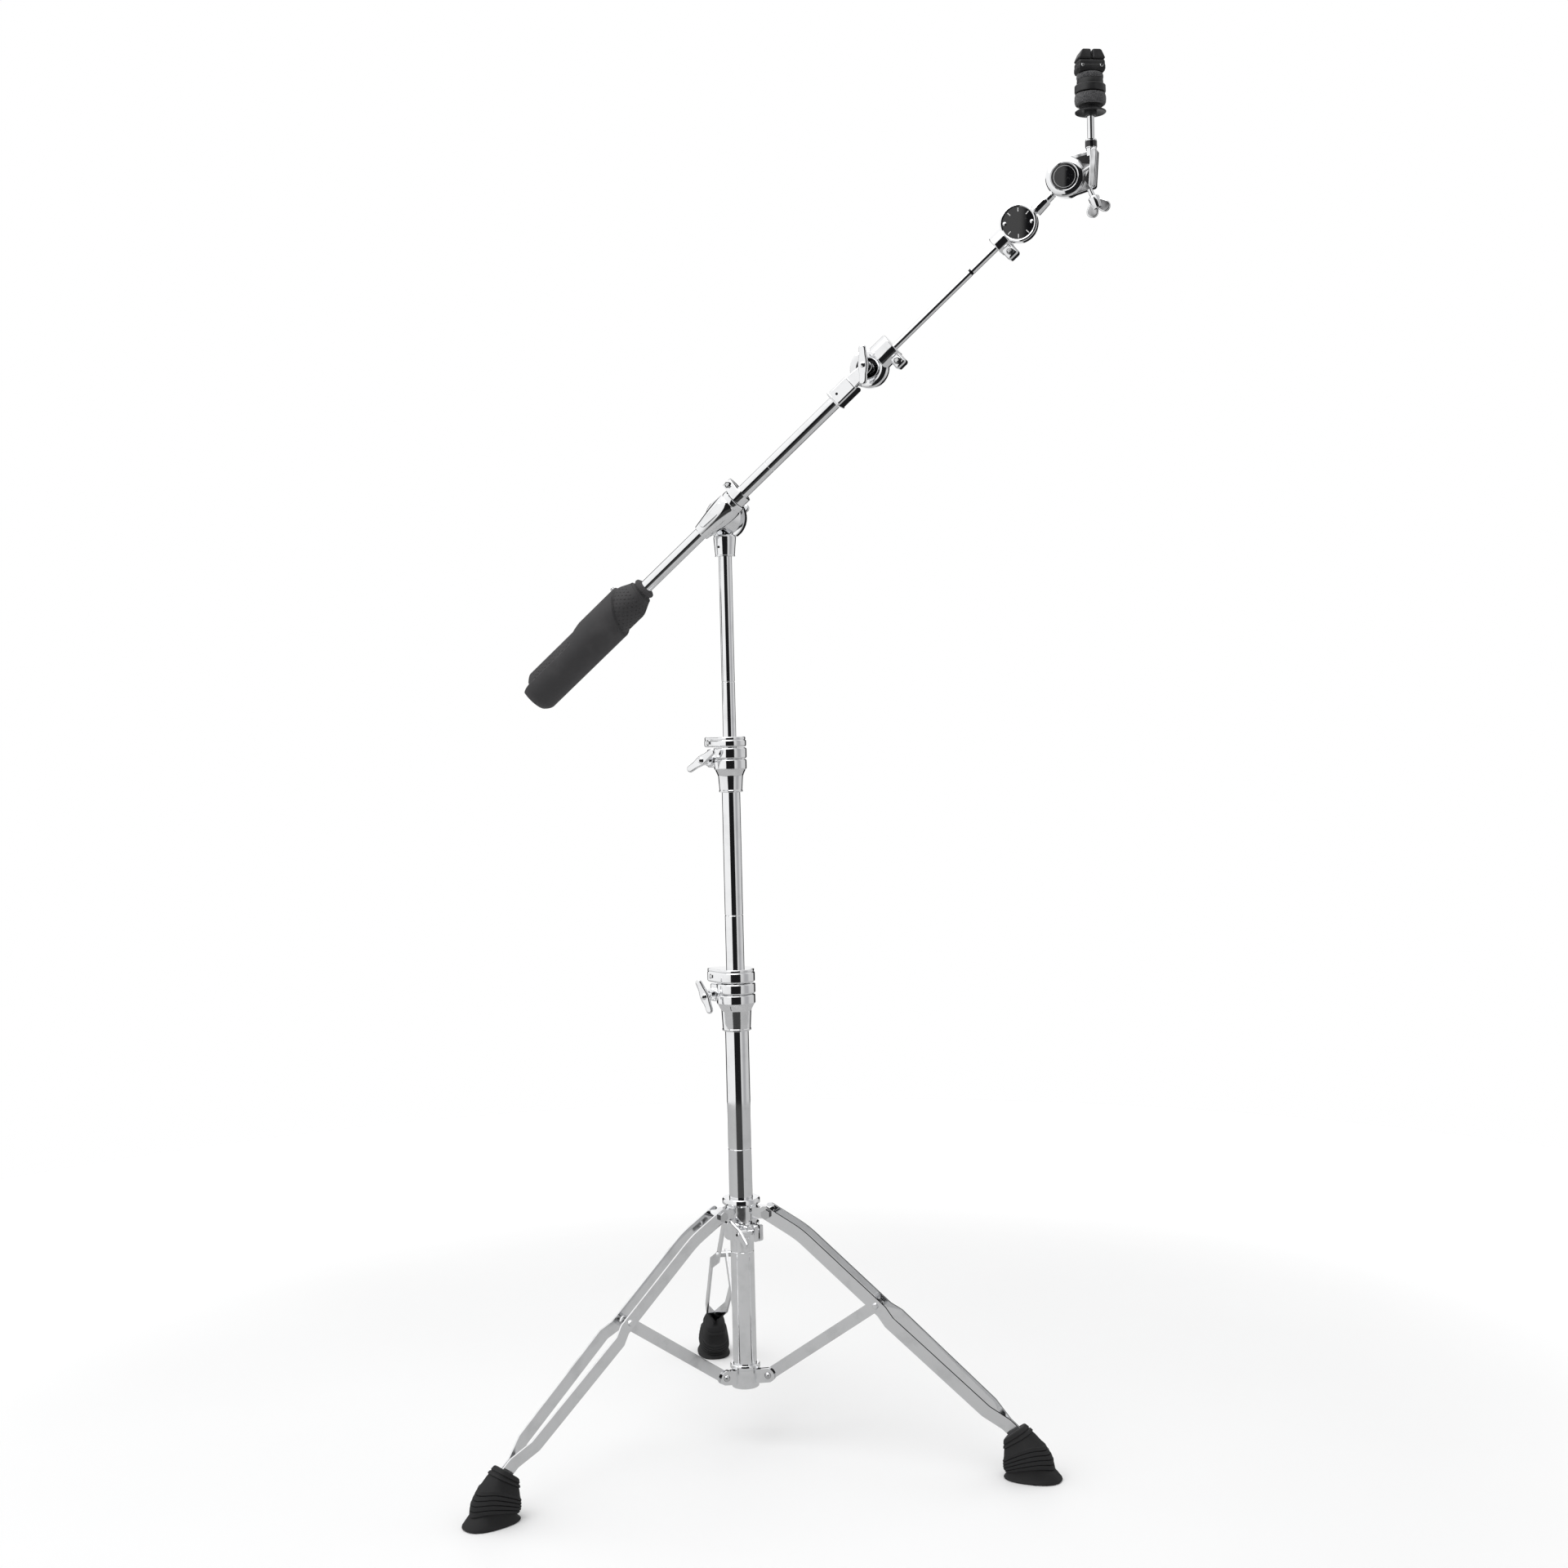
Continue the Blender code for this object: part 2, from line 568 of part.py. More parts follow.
def make_legs():
    length, slope = stay_geometry()
    bolt_reach = BAR_OFFSET + BAR_THICKNESS / 2 + GAP
    for number, azimuth in enumerate(LEG_AZIMUTHS, 1):
        radial = Vector((math.cos(azimuth), math.sin(azimuth), 0))
        leg = frame(f"leg_{number}_pivot", stand, around_z(azimuth, radial * LEG_PIVOT_RADIUS + LEG_LIFT))
        for side, label in ((1, "left"), (-1, "right")):
            leg_bar(f"leg_{number}_{label}_bar", side, leg)
        boot = foot(f"foot_{number}", leg, Matrix.Translation((-LEG_PIVOT_RADIUS, 0, -LEG_PIVOT_HEIGHT)))
        carve(boot, boot_socket(leg))

        bolt_place = around_z(azimuth) @ Matrix.Translation((LEG_PIVOT_RADIUS, 0, LEG_PIVOT_HEIGHT)) @ ACROSS_Y
        reach = bolt_reach + PIVOT_HEAD_THICKNESS / 2
        bolt = cylinder(
            f"leg_{number}_pivot_bolt", PIVOT_RADIUS, -reach, reach, stand, bolt_place, CHROME, segments=16
        )
        heads = []
        for side in (-1, 1):
            low, high = sorted((side * bolt_reach, side * (bolt_reach + PIVOT_HEAD_THICKNESS)))
            heads.append(cylinder("hex_head", PIVOT_HEAD, low, high, stand, bolt_place, segments=6))
        weld(bolt, *heads)

        stay_frame = frame(
            f"stay_{number}_pivot",
            stand,
            around_z(azimuth, radial * STAY_PIVOT_RADIUS + Vector((0, 0, STAY_PIVOT_HEIGHT)))
            @ Matrix.Rotation(-slope, 4, "Y"),
        )
        flat = axes((0, 0, 0), (1, 0, 0), (0, 0, 1), (0, -1, 0))
        half = STAY_THICKNESS / 2
        ends = [(0, 0, STAY_WIDTH / 2), (length, 0, STAY_WIDTH / 2)]
        stay = hull(f"stay_{number}", ends, -half, half, stay_frame, flat, CHROME, 16)
        low_hole = cylinder("hole", STAY_RIVET_RADIUS + GAP, -0.01, 0.01, stay_frame, flat, segments=16)
        high_place = flat @ Matrix.Translation((length, 0, 0))
        high_hole = cylinder("hole", SPACER_RADIUS + GAP, -0.01, 0.01, stay_frame, high_place, segments=16)
        carve(stay, low_hole, high_hole)
        cylinder(
            f"stay_{number}_spacer", SPACER_RADIUS, -LUG_HALF_WIDTH, LUG_HALF_WIDTH, stay_frame, high_place, STEEL,
            segments=16,
        )
        grip = STAY_THICKNESS / 2 + 2 * GAP + STAY_EAR_PLATE
        profile = [
            (0, grip + 0.0022),
            (0.0030, grip + 0.0016),
            (0.0044, grip),
            (STAY_RIVET_RADIUS, grip),
            (STAY_RIVET_RADIUS, -grip),
            (0.0044, -grip),
            (0.0030, -grip - 0.0016),
            (0, -grip - 0.0022),
        ]
        rivet_place = around_z(azimuth) @ Matrix.Translation((STAY_PIVOT_RADIUS, 0, STAY_PIVOT_HEIGHT)) @ ACROSS_Y
        turned(f"collar_rivet_{number}", profile, stand, rivet_place, CHROME, 16, closed=False)


def make_leg_collar():
    bore = BASE_TUBE_RADIUS + GAP
    ease = 0.0015
    top = LEG_PIVOT_HEIGHT + COLLAR_ABOVE_PIVOT
    bottom = LEG_PIVOT_HEIGHT - COLLAR_BELOW_PIVOT
    clamp_top = LEG_PIVOT_HEIGHT - CLAMP_BELOW_PIVOT
    bolt_height = LEG_PIVOT_HEIGHT - BOLT_BELOW_PIVOT
    flange = BASE_TUBE_RADIUS + COLLAR_FLANGE_WALL
    barrel = BASE_TUBE_RADIUS + COLLAR_BARREL_WALL
    clamp = BASE_TUBE_RADIUS + COLLAR_CLAMP_WALL
    profile = [
        (0, top),
        (flange - ease, top),
        (flange, top - ease),
        (flange, top - 0.0065),
        (barrel, top - 0.0090),
        (barrel, clamp_top),
        (clamp, clamp_top - ease),
        (clamp, bottom + ease),
        (clamp - ease, bottom),
        (0, bottom),
    ]
    collar = turned("leg_collar", profile, stand, look=CHROME, segments=28, closed=False)
    lugs = []
    for azimuth in LEG_AZIMUTHS:
        place = around_z(azimuth) @ axes((0, 0, LEG_PIVOT_HEIGHT), (1, 0, 0), (0, 0, 1), (0, -1, 0))
        circles = [(barrel, -0.0005, 0.0068), (LEG_PIVOT_RADIUS, 0, 0.0062)]
        lugs.append(hull("lug", circles, -LUG_HALF_WIDTH, LUG_HALF_WIDTH, stand, place, segments=16))
    ear_place = around_z(COLLAR_EAR_AZIMUTH)
    ear = block(
        "clamp_ear", (bore + 0.0014, -0.0070, bottom + 0.0010), (COLLAR_EAR_REACH, 0.0070, clamp_top - 0.0006),
        stand, ear_place, bevel=0.0022,
    )
    weld(collar, *lugs, ear)
    cut = cylinder("collar_bore", bore, bottom - 0.01, top + 0.01, stand, segments=28)
    slot = block(
        "slot", (0.010, -SLOT_WIDTH / 2, bottom - 0.01), (0.050, SLOT_WIDTH / 2, clamp_top + 0.0020),
        stand, ear_place,
    )
    holes = [
        pivot_hole(PIVOT_RADIUS + GAP, azimuth, LEG_PIVOT_RADIUS, LEG_PIVOT_HEIGHT, 0.02, stand)
        for azimuth in LEG_AZIMUTHS
    ]
    bolt_hole = pivot_hole(AXLE_HOLE, COLLAR_EAR_AZIMUTH, COLLAR_BOLT_AT, bolt_height, 0.03, stand)
    carve(collar, cut, slot, bolt_hole, *holes)
    tangent = Vector((-math.sin(COLLAR_EAR_AZIMUTH), math.cos(COLLAR_EAR_AZIMUTH), 0))
    centre = Vector((math.cos(COLLAR_EAR_AZIMUTH), math.sin(COLLAR_EAR_AZIMUTH), 0)) * COLLAR_BOLT_AT
    hub = centre - tangent * 0.0250 + Vector((0, 0, bolt_height))
    turn = math.radians(35)
    wing_bolt("leg_collar_wing_bolt", stand, aim(hub, tangent, turn), 0.0215, 0.0325)


# --- Mast clamps ---------------------------------------------------------------------------------------------------------
def ear_centre(body_radius):
    reach = body_radius + 0.0037
    return math.cos(EAR_AZIMUTH) * reach, math.sin(EAR_AZIMUTH) * reach


def mast_clamp(label, bottom, socket, cone, housing, ring, body_radius, below_radius, tube_radius, turn, parent):
    """Socket, split housing, nylon bushing, memory ring and wing bolt at one mast joint."""
    bore = below_radius + GAP
    cone_bottom = bottom + socket
    housing_bottom = cone_bottom + cone
    top = housing_bottom + housing
    ear_x, ear_y = ear_centre(body_radius)
    outline = [(0, 0, body_radius), (ear_x, ear_y, EAR_RADIUS)]
    body = hull(f"{label}_clamp", outline, housing_bottom, top, parent, look=CHROME, segments=24)
    collar = [
        (0, housing_bottom + 0.004),
        (body_radius - 0.0015, housing_bottom + 0.004),
        (body_radius - 0.0015, housing_bottom),
        (below_radius + 0.0043, cone_bottom),
        (below_radius + 0.0024, bottom + 0.0012),
        (below_radius + 0.0012, bottom),
        (0, bottom),
    ]
    weld(body, turned("socket", collar, parent, segments=24, closed=False))
    bushing_outer = tube_radius + GAP + BUSHING_WALL
    seat = cone_bottom - 0.0010 + GAP
    tube_bore = cylinder("tube_bore", bore, bottom - 0.01, seat, parent, segments=24)
    bushing_bore = cylinder("bushing_bore", bushing_outer + GAP, seat - 0.001, top + 0.01, parent, segments=24)
    slot_place = around_z(EAR_AZIMUTH)
    slot = block(
        "slot", (0.008, -SLOT_WIDTH / 2, housing_bottom + 0.0030), (0.060, SLOT_WIDTH / 2, top + 0.01), parent,
        slot_place,
    )
    bolt_height = housing_bottom + housing * 0.46
    bolt_at = math.hypot(ear_x, ear_y)
    bolt_hole = pivot_hole(AXLE_HOLE, EAR_AZIMUTH, bolt_at, bolt_height, 0.03, parent)
    carve(body, tube_bore, bushing_bore, slot, bolt_hole)

    sleeve = [
        (bushing_outer, top - GAP),
        (bushing_outer, seat + GAP),
        (tube_radius + GAP, seat + GAP),
        (tube_radius + GAP, top - GAP),
    ]
    turned(f"{label}_bushing", sleeve, parent, look=NYLON)

    low = top + GAP
    lock = hull(f"{label}_memory_ring", outline, low, low + ring, parent, look=CHROME, segments=24)
    ring_bore = cylinder("ring_bore", tube_radius + GAP, low - 0.01, low + ring + 0.01, parent, segments=24)
    ring_slot = block(
        "slot", (0.006, -SLOT_WIDTH / 2, low - 0.01), (0.060, SLOT_WIDTH / 2, low + ring + 0.01), parent, slot_place
    )
    carve(lock, ring_bore, ring_slot)

    tangent = Vector((math.sin(EAR_AZIMUTH), -math.cos(EAR_AZIMUTH), 0))
    hub = Vector((ear_x, ear_y, bolt_height)) - tangent * 0.0300
    wing_bolt(f"{label}_wing_bolt", parent, aim(hub, tangent, turn), 0.0215, 0.0385)


def make_mast():
    mast_clamp(
        "lower", LOWER_CLAMP_BOTTOM, LOWER_SOCKET, LOWER_CONE, LOWER_HOUSING, LOWER_RING, LOWER_BODY_RADIUS,
        BASE_TUBE_RADIUS, MIDDLE_TUBE_RADIUS, math.radians(67.6), stand,
    )
    mast_clamp(
        "upper", UPPER_CLAMP_BOTTOM, UPPER_SOCKET, UPPER_CONE, UPPER_HOUSING, UPPER_RING, UPPER_BODY_RADIUS,
        MIDDLE_TUBE_RADIUS, UPPER_TUBE_RADIUS, math.radians(145.5), stand,
    )
    middle_top = UPPER_CLAMP_BOTTOM + UPPER_SOCKET - 0.0010
    tube("middle_tube", MIDDLE_TUBE_RADIUS, TUBE_WALL, MIDDLE_TUBE_BOTTOM, middle_top, stand)
    upper_top = BOOM_HEIGHT - TILTER_SOCKET_BOTTOM + 0.0200
    tube("upper_tube", UPPER_TUBE_RADIUS, TUBE_WALL, UPPER_TUBE_BOTTOM, upper_top, stand, segments=20)


# --- Main tilter -----------------------------------------------------------------------------------------------------------
BOOM_OFFSET = UPPER_TUBE_RADIUS + BOOM_TUBE_RADIUS + BOOM_CLEARS_MAST
TILTER_DISC_FRONT = -BOOM_TUBE_RADIUS - TILTER_FACE_WALL
TILTER_DISC_BACK = TILTER_DISC_FRONT - TILTER_DISC_THICKNESS
SLEEVE_END_RADIUS = BOOM_TUBE_RADIUS + SLEEVE_END_WALL
SLEEVE_BELLY_RADIUS = BOOM_TUBE_RADIUS + SLEEVE_BELLY_WALL
STOP_RING_RADIUS = BOOM_TUBE_RADIUS + STOP_RING_WALL
KNUCKLE_ARM_HALF = BOOM_TUBE_RADIUS + KNUCKLE_ARM_WALL
BOOM_OUT = Vector((math.cos(BOOM_AZIMUTH), math.sin(BOOM_AZIMUTH), 0))
BOOM_NORMAL = Vector((math.sin(BOOM_AZIMUTH), -math.cos(BOOM_AZIMUTH), 0))
UP = Vector((0, 0, 1))
BOOM_ALONG = BOOM_OUT * math.cos(BOOM_ELEVATION) + UP * math.sin(BOOM_ELEVATION)
BOOM_ACROSS = UP * math.cos(BOOM_ELEVATION) - BOOM_OUT * math.sin(BOOM_ELEVATION)

tilter = frame(
    "tilter_axis", stand, axes(BOOM_NORMAL * BOOM_OFFSET + UP * BOOM_HEIGHT, BOOM_ALONG, BOOM_ACROSS, BOOM_NORMAL)
)
upright = frame("tilter_upright", stand, axes(UP * BOOM_HEIGHT, BOOM_OUT, UP, BOOM_NORMAL))


def make_tilter_base():
    bottom = -TILTER_SOCKET_BOTTOM
    bore = UPPER_TUBE_RADIUS + GAP
    profile = [
        (0, bottom + 0.0290),
        (bore + 0.0048, bottom + 0.0290),
        (bore + 0.0056, bottom + 0.0280),
        (bore + 0.0034, bottom + 0.0010),
        (bore + 0.0026, bottom),
        (0, bottom),
    ]
    standing = aim((0, 0, 0), (0, 1, 0))
    base = turned("tilter_base", profile, upright, standing, CHROME, closed=False)
    shift = BOOM_OFFSET
    back = TILTER_DISC_BACK + shift
    front = TILTER_DISC_FRONT + shift
    disc = cylinder("tilter_disc", TILTER_DISC_RADIUS, back, front, upright, segments=32)
    neck = block("neck", (-0.0115, bottom + 0.0240, back + 0.0005), (0.0115, bottom + 0.0370, 0.0), upright)
    cut = cylinder("bore", bore, bottom - 0.01, bottom + 0.0205, upright, standing, segments=20)
    hole = cylinder("hole", AXLE_HOLE, -0.05, 0.02, upright, segments=16)
    weld(base, disc, neck)
    swing = math.hypot(SLEEVE_HALF_LENGTH, SLEEVE_END_RADIUS) + 2 * GAP
    passing = shift - SLEEVE_END_RADIUS - 2 * GAP
    boss_room = cylinder("boss_room", SLEEVE_BOSS_RADIUS + GAP, front, 0.04, upright, segments=28)
    room = [(0, 0.04), (swing, 0.04), (swing, passing)]
    for step in range(4, -1, -1):
        reach = SLEEVE_BOSS_RADIUS + (SLEEVE_HALF_LENGTH - SLEEVE_BOSS_RADIUS) * step / 4
        room.append((reach, shift - sleeve_radius(reach / SLEEVE_HALF_LENGTH) - 2 * GAP))
    room.append((0, room[-1][1]))
    sleeve_room = turned("sleeve_room", room, upright, closed=False, segments=28)
    carve(base, cut, hole, boss_room, sleeve_room)


def sleeve_radius(share):
    """The sleeve's outer radius at a share of its half length from the hinge."""
    return SLEEVE_END_RADIUS + (SLEEVE_BELLY_RADIUS - SLEEVE_END_RADIUS) * (1 - share * share)


def make_sleeve():
    bore = BOOM_TUBE_RADIUS + GAP
    steps = 8
    outer = []
    for step in range(steps + 1):
        share = 1 - 2 * step / steps
        outer.append((sleeve_radius(share), share * SLEEVE_HALF_LENGTH))
    profile = [(0, SLEEVE_HALF_LENGTH)] + outer + [(0, -SLEEVE_HALF_LENGTH)]
    sleeve = turned("boom_sleeve", profile, tilter, ALONG_X, CHROME, closed=False)
    face = TILTER_DISC_FRONT + GAP
    boss = cylinder(
        "boss", SLEEVE_BOSS_RADIUS, face, -0.0060, tilter, top_radius=SLEEVE_BELLY_RADIUS * 0.75, segments=28
    )
    weld(sleeve, boss)
    cut = cylinder("bore", bore, -0.06, 0.06, tilter, ALONG_X, segments=20)
    hole = cylinder("hole", AXLE_HOLE, face - 0.01, -bore - 0.0012, tilter, segments=16)
    carve(sleeve, cut, hole)
    hub = Matrix.Translation((0, 0, TILTER_DISC_BACK - TILTER_WING_REACH))
    wing_bolt("tilter_wing_bolt", tilter, hub, 0.0260, 0.0390, tip=0.0050)

    low = SLEEVE_HALF_LENGTH + GAP
    high = low + STOP_RING_LENGTH
    circles = [(0, 0, STOP_RING_RADIUS), (BOOM_TUBE_RADIUS + STOP_EAR_WALL, 0, STOP_EAR_RADIUS)]
    ring = hull("boom_memory_ring", circles, low, high, tilter, ALONG_X, CHROME, 20)
    ring_bore = cylinder("ring_bore", bore, low - 0.01, high + 0.01, tilter, ALONG_X, segments=20)
    slot = block(
        "slot", (0.005, -SLOT_WIDTH / 2, low - 0.01), (0.04, SLOT_WIDTH / 2, high + 0.01), tilter, ALONG_X
    )
    carve(ring, ring_bore, slot)


# --- Boom, counterweight and knuckle -------------------------------------------------------------------------------------
def make_boom():
    tube(
        "boom_tube", BOOM_TUBE_RADIUS, TUBE_WALL, BOOM_TUBE_START, BOOM_TUBE_END, tilter, ALONG_X, segments=20
    )
    bore = BOOM_TUBE_RADIUS + GAP
    core_bottom = WEIGHT_CORE_TOP - WEIGHT_CORE_LENGTH
    core = tube(
        "counterweight_core", WEIGHT_CORE_RADIUS, WEIGHT_CORE_RADIUS - bore, core_bottom, WEIGHT_CORE_TOP, tilter,
        ALONG_X, STEEL,
    )
    cavity = WEIGHT_CORE_RADIUS + GAP
    end = core_bottom - WEIGHT_END_CAP
    profile = [
        (0, core_bottom - GAP),
        (cavity, core_bottom - GAP),
        (cavity, WEIGHT_CORE_TOP + GAP),
        (bore, WEIGHT_CORE_TOP + GAP),
        (bore, WEIGHT_TOP),
        (0.0105, WEIGHT_TOP),
        (0.0132, WEIGHT_TOP - 0.0018),
        (0.0132, WEIGHT_TOP - 0.0048),
        (0.0118, WEIGHT_TOP - 0.0072),
        (0.0176, WEIGHT_TOP - 0.0105),
        (0.0212, WEIGHT_TOP - 0.0180),
        (WEIGHT_RADIUS, WEIGHT_TOP - 0.0260),
        (WEIGHT_WRAP_RADIUS, WEIGHT_TOP - 0.0300),
        (WEIGHT_WRAP_RADIUS, WEIGHT_TOP - 0.0880),
        (WEIGHT_RADIUS, WEIGHT_TOP - 0.0930),
        (WEIGHT_RADIUS, end + 0.0130),
        (WEIGHT_RADIUS - 0.0030, end + 0.0045),
        (WEIGHT_RADIUS - 0.0090, end),
        (0, end),
    ]
    cover = turned("counterweight_cover", profile, tilter, ALONG_X, RUBBER, 28, closed=False)
    upward = Matrix.Translation((WEIGHT_SCREW_AT, 0, 0)) @ aim((0, 0, 0), (0, 1, 0))
    reach = WEIGHT_WRAP_RADIUS + 0.0030
    hole = cylinder("hole", WEIGHT_SCREW_RADIUS + GAP, 0.004, reach, tilter, upward, segments=16)
    carve(cover, hole)
    carve(core, hole)
    start = BOOM_TUBE_RADIUS + GAP
    cylinder("counterweight_screw", WEIGHT_SCREW_RADIUS, start, reach, tilter, upward, STEEL, segments=16)


knuckle = frame("knuckle_axis", tilter, Matrix.Translation((KNUCKLE_AT, 0, 0)))


def make_knuckle():
    bore = BOOM_TUBE_RADIUS + GAP
    front = KNUCKLE_FRONT + GAP
    plate_front = front + KNUCKLE_ARM_THICKNESS
    socket_end = KNUCKLE_AT - KNUCKLE_RADIUS - 2 * GAP
    arm = block(
        "knuckle_arm", (KNUCKLE_SOCKET_START, -KNUCKLE_ARM_HALF, -KNUCKLE_ARM_HALF),
        (socket_end, KNUCKLE_ARM_HALF, plate_front), tilter, look=CHROME, bevel=0.0024,
    )
    circles = [(socket_end - 0.0080, 0, 0.0100), (KNUCKLE_AT, 0, 0.0112)]
    plate = hull("arm_plate", circles, front, plate_front - 0.0004, tilter)
    weld(arm, plate)
    seat = cylinder("bore", bore, KNUCKLE_SOCKET_START - 0.01, BOOM_TUBE_END + GAP, tilter, ALONG_X, segments=20)
    hole_place = Matrix.Translation((KNUCKLE_AT, 0, 0))
    hole = cylinder("hole", AXLE_HOLE, -0.03, 0.03, tilter, hole_place, segments=16)
    carve(arm, seat, hole)

    ease = 0.0024
    profile = [
        (KNUCKLE_OPENING, KNUCKLE_FRONT),
        (KNUCKLE_RADIUS - ease, KNUCKLE_FRONT),
        (KNUCKLE_RADIUS, KNUCKLE_FRONT - ease),
        (KNUCKLE_RADIUS, KNUCKLE_BACK + ease),
        (KNUCKLE_RADIUS - ease, KNUCKLE_BACK),
        (AXLE_HOLE, KNUCKLE_BACK),
        (AXLE_HOLE, KNUCKLE_BACK + 0.0040),
        (KNUCKLE_OPENING, KNUCKLE_BACK + 0.0040),
    ]
    ring = turned("knuckle_ring", profile, knuckle, Matrix(), CHROME, 28)
    clamp = rod_clamp("rod_clamp", knuckle, ROD_CLAMP_START, ROD_CLAMP_END, ROD_DROP, 0.0128, 0.0062)
    weld(ring, *clamp)
    room = cylinder("opening", KNUCKLE_OPENING, KNUCKLE_BACK + 0.0040, 0.03, knuckle, segments=28)
    rod_place = Matrix.Translation((0, ROD_DROP, 0)) @ ALONG_X
    rod_bore = cylinder("bore", ROD_RADIUS + GAP, ROD_SEAT, 0.06, knuckle, rod_place, segments=16)
    carve(ring, room, rod_bore, ear_slot(knuckle, ROD_CLAMP_START + 0.0100, 0.05))
    upright_turn = Matrix.Rotation(math.pi / 2 - BOOM_ELEVATION, 4, "Z")
    flip = Matrix.Rotation(math.pi, 4, "X")
    place = Matrix.Translation((0, 0, plate_front + 0.0120)) @ upright_turn @ flip
    wing_bolt("knuckle_wing_bolt", knuckle, place, 0.0225, plate_front + 0.0120 - KNUCKLE_BACK + 0.0020)


def rod_clamp(name, parent, start, end, drop, radius, stretch):
    """A collar round the rod with an ear below it for the key screw."""
    collar = hull(name, [(drop, 0, radius), (drop + stretch, 0, radius)], start, end, parent, ALONG_X, segments=24)
    ear = block(
        name + "_ear", (end - 0.0150, drop - 0.0240, -0.0078), (end - 0.0005, drop - 0.0060, 0.0078), parent,
        bevel=0.0024,
    )
    return collar, ear


def ear_slot(parent, start, end):
    half = SLOT_WIDTH / 2 * 0.8
    return block("slot", (start, -0.05, -half), (end, ROD_DROP, half), parent)


rod_frame = frame("rod_axis", knuckle, Matrix.Translation((0, ROD_DROP, 0)))
angle = frame("angle_axis", rod_frame, Matrix.Translation((ANGLE_AT, 0, 0)))
swivel = frame("swivel_axis", angle, Matrix.Translation((STEM_END, 0, STEM_DEPTH)))


def make_rod_and_angle():
    rod_end = ANGLE_AT - 0.0198
    cylinder("boom_rod", ROD_RADIUS, ROD_SEAT + GAP, rod_end, rod_frame, ALONG_X, CHROME, segments=16)

    ease = 0.0012
    profile = [
        (0, ANGLE_FRONT - DIAL_DEPTH),
        (DIAL_RADIUS, ANGLE_FRONT - DIAL_DEPTH),
        (DIAL_RADIUS, ANGLE_FRONT),
        (ANGLE_RADIUS - ease, ANGLE_FRONT),
        (ANGLE_RADIUS, ANGLE_FRONT - ease),
        (ANGLE_RADIUS, ANGLE_BACK),
        (0, ANGLE_BACK),
    ]
    base = turned("angle_base", profile, angle, Matrix(), CHROME, 28, closed=False)
    weld(base, *rod_clamp("angle_clamp", angle, -0.0362, -0.0198, 0.0, 0.0128, 0.0001))
    rod_bore = cylinder("bore", ROD_RADIUS + GAP, -0.06, -0.0195, angle, ALONG_X, segments=16)
    pivot = cylinder("hole", AXLE_HOLE, -0.02, ANGLE_FRONT - DIAL_DEPTH - 0.0015, angle, segments=16)
    carve(base, rod_bore, pivot, ear_slot(angle, -0.06, -0.0235))
    front = ANGLE_BACK - GAP
    back = front - STEM_DISC_THICKNESS
    stem = turned(
        "angle_stem",
        [
            (0, ANGLE_FRONT - DIAL_DEPTH - 0.0025),
            (AXLE_RADIUS, ANGLE_FRONT - DIAL_DEPTH - 0.0025),
            (AXLE_RADIUS, front),
            (STEM_DISC_RADIUS - ease, front),
            (STEM_DISC_RADIUS, front - ease),
            (STEM_DISC_RADIUS, back + ease),
            (STEM_DISC_RADIUS - ease, back),
            (0, back),
        ],
        angle, Matrix(), CHROME, 28, closed=False,
    )
    stem_place = Matrix.Translation((0, 0, STEM_DEPTH)) @ ALONG_X
    socket_start = ANGLE_RADIUS + 0.0008
    bar = turned(
        "stem_bar",
        [
            (0, STEM_END),
            (STEM_NECK_RADIUS, STEM_END),
            (STEM_NECK_RADIUS, 0.0400),
            (STEM_SOCKET_RADIUS - 0.0008, 0.0372),
            (STEM_SOCKET_RADIUS, socket_start + 0.0010),
            (STEM_SOCKET_RADIUS - 0.0008, socket_start),
            (0.0034, socket_start),
            (0.0034, 0.0080),
            (0, 0.0080),
        ],
        angle, stem_place, None, 20, closed=False,
    )
    bore = cylinder("swivel_bore", SWIVEL_RADIUS + GAP, 0.0330, 0.06, angle, stem_place, segments=16)
    weld(stem, bar)
    carve(stem, bore)


# --- Head: disc, arm, cymbal rod -------------------------------------------------------------------------------------------
head_turn = Matrix.Rotation(-BOOM_ELEVATION, 4, "Z")
head = frame("head_axis", angle, Matrix.Translation((HEAD_AT, 0, 0)) @ head_turn)
HEAD_GAP_FRONT = GAP
cymbal = frame(
    "cymbal_axis", head, axes((CYMBAL_AXIS, 0, CYMBAL_DEPTH), (1, 0, 0), (0, 0, -1), (0, 1, 0))
)


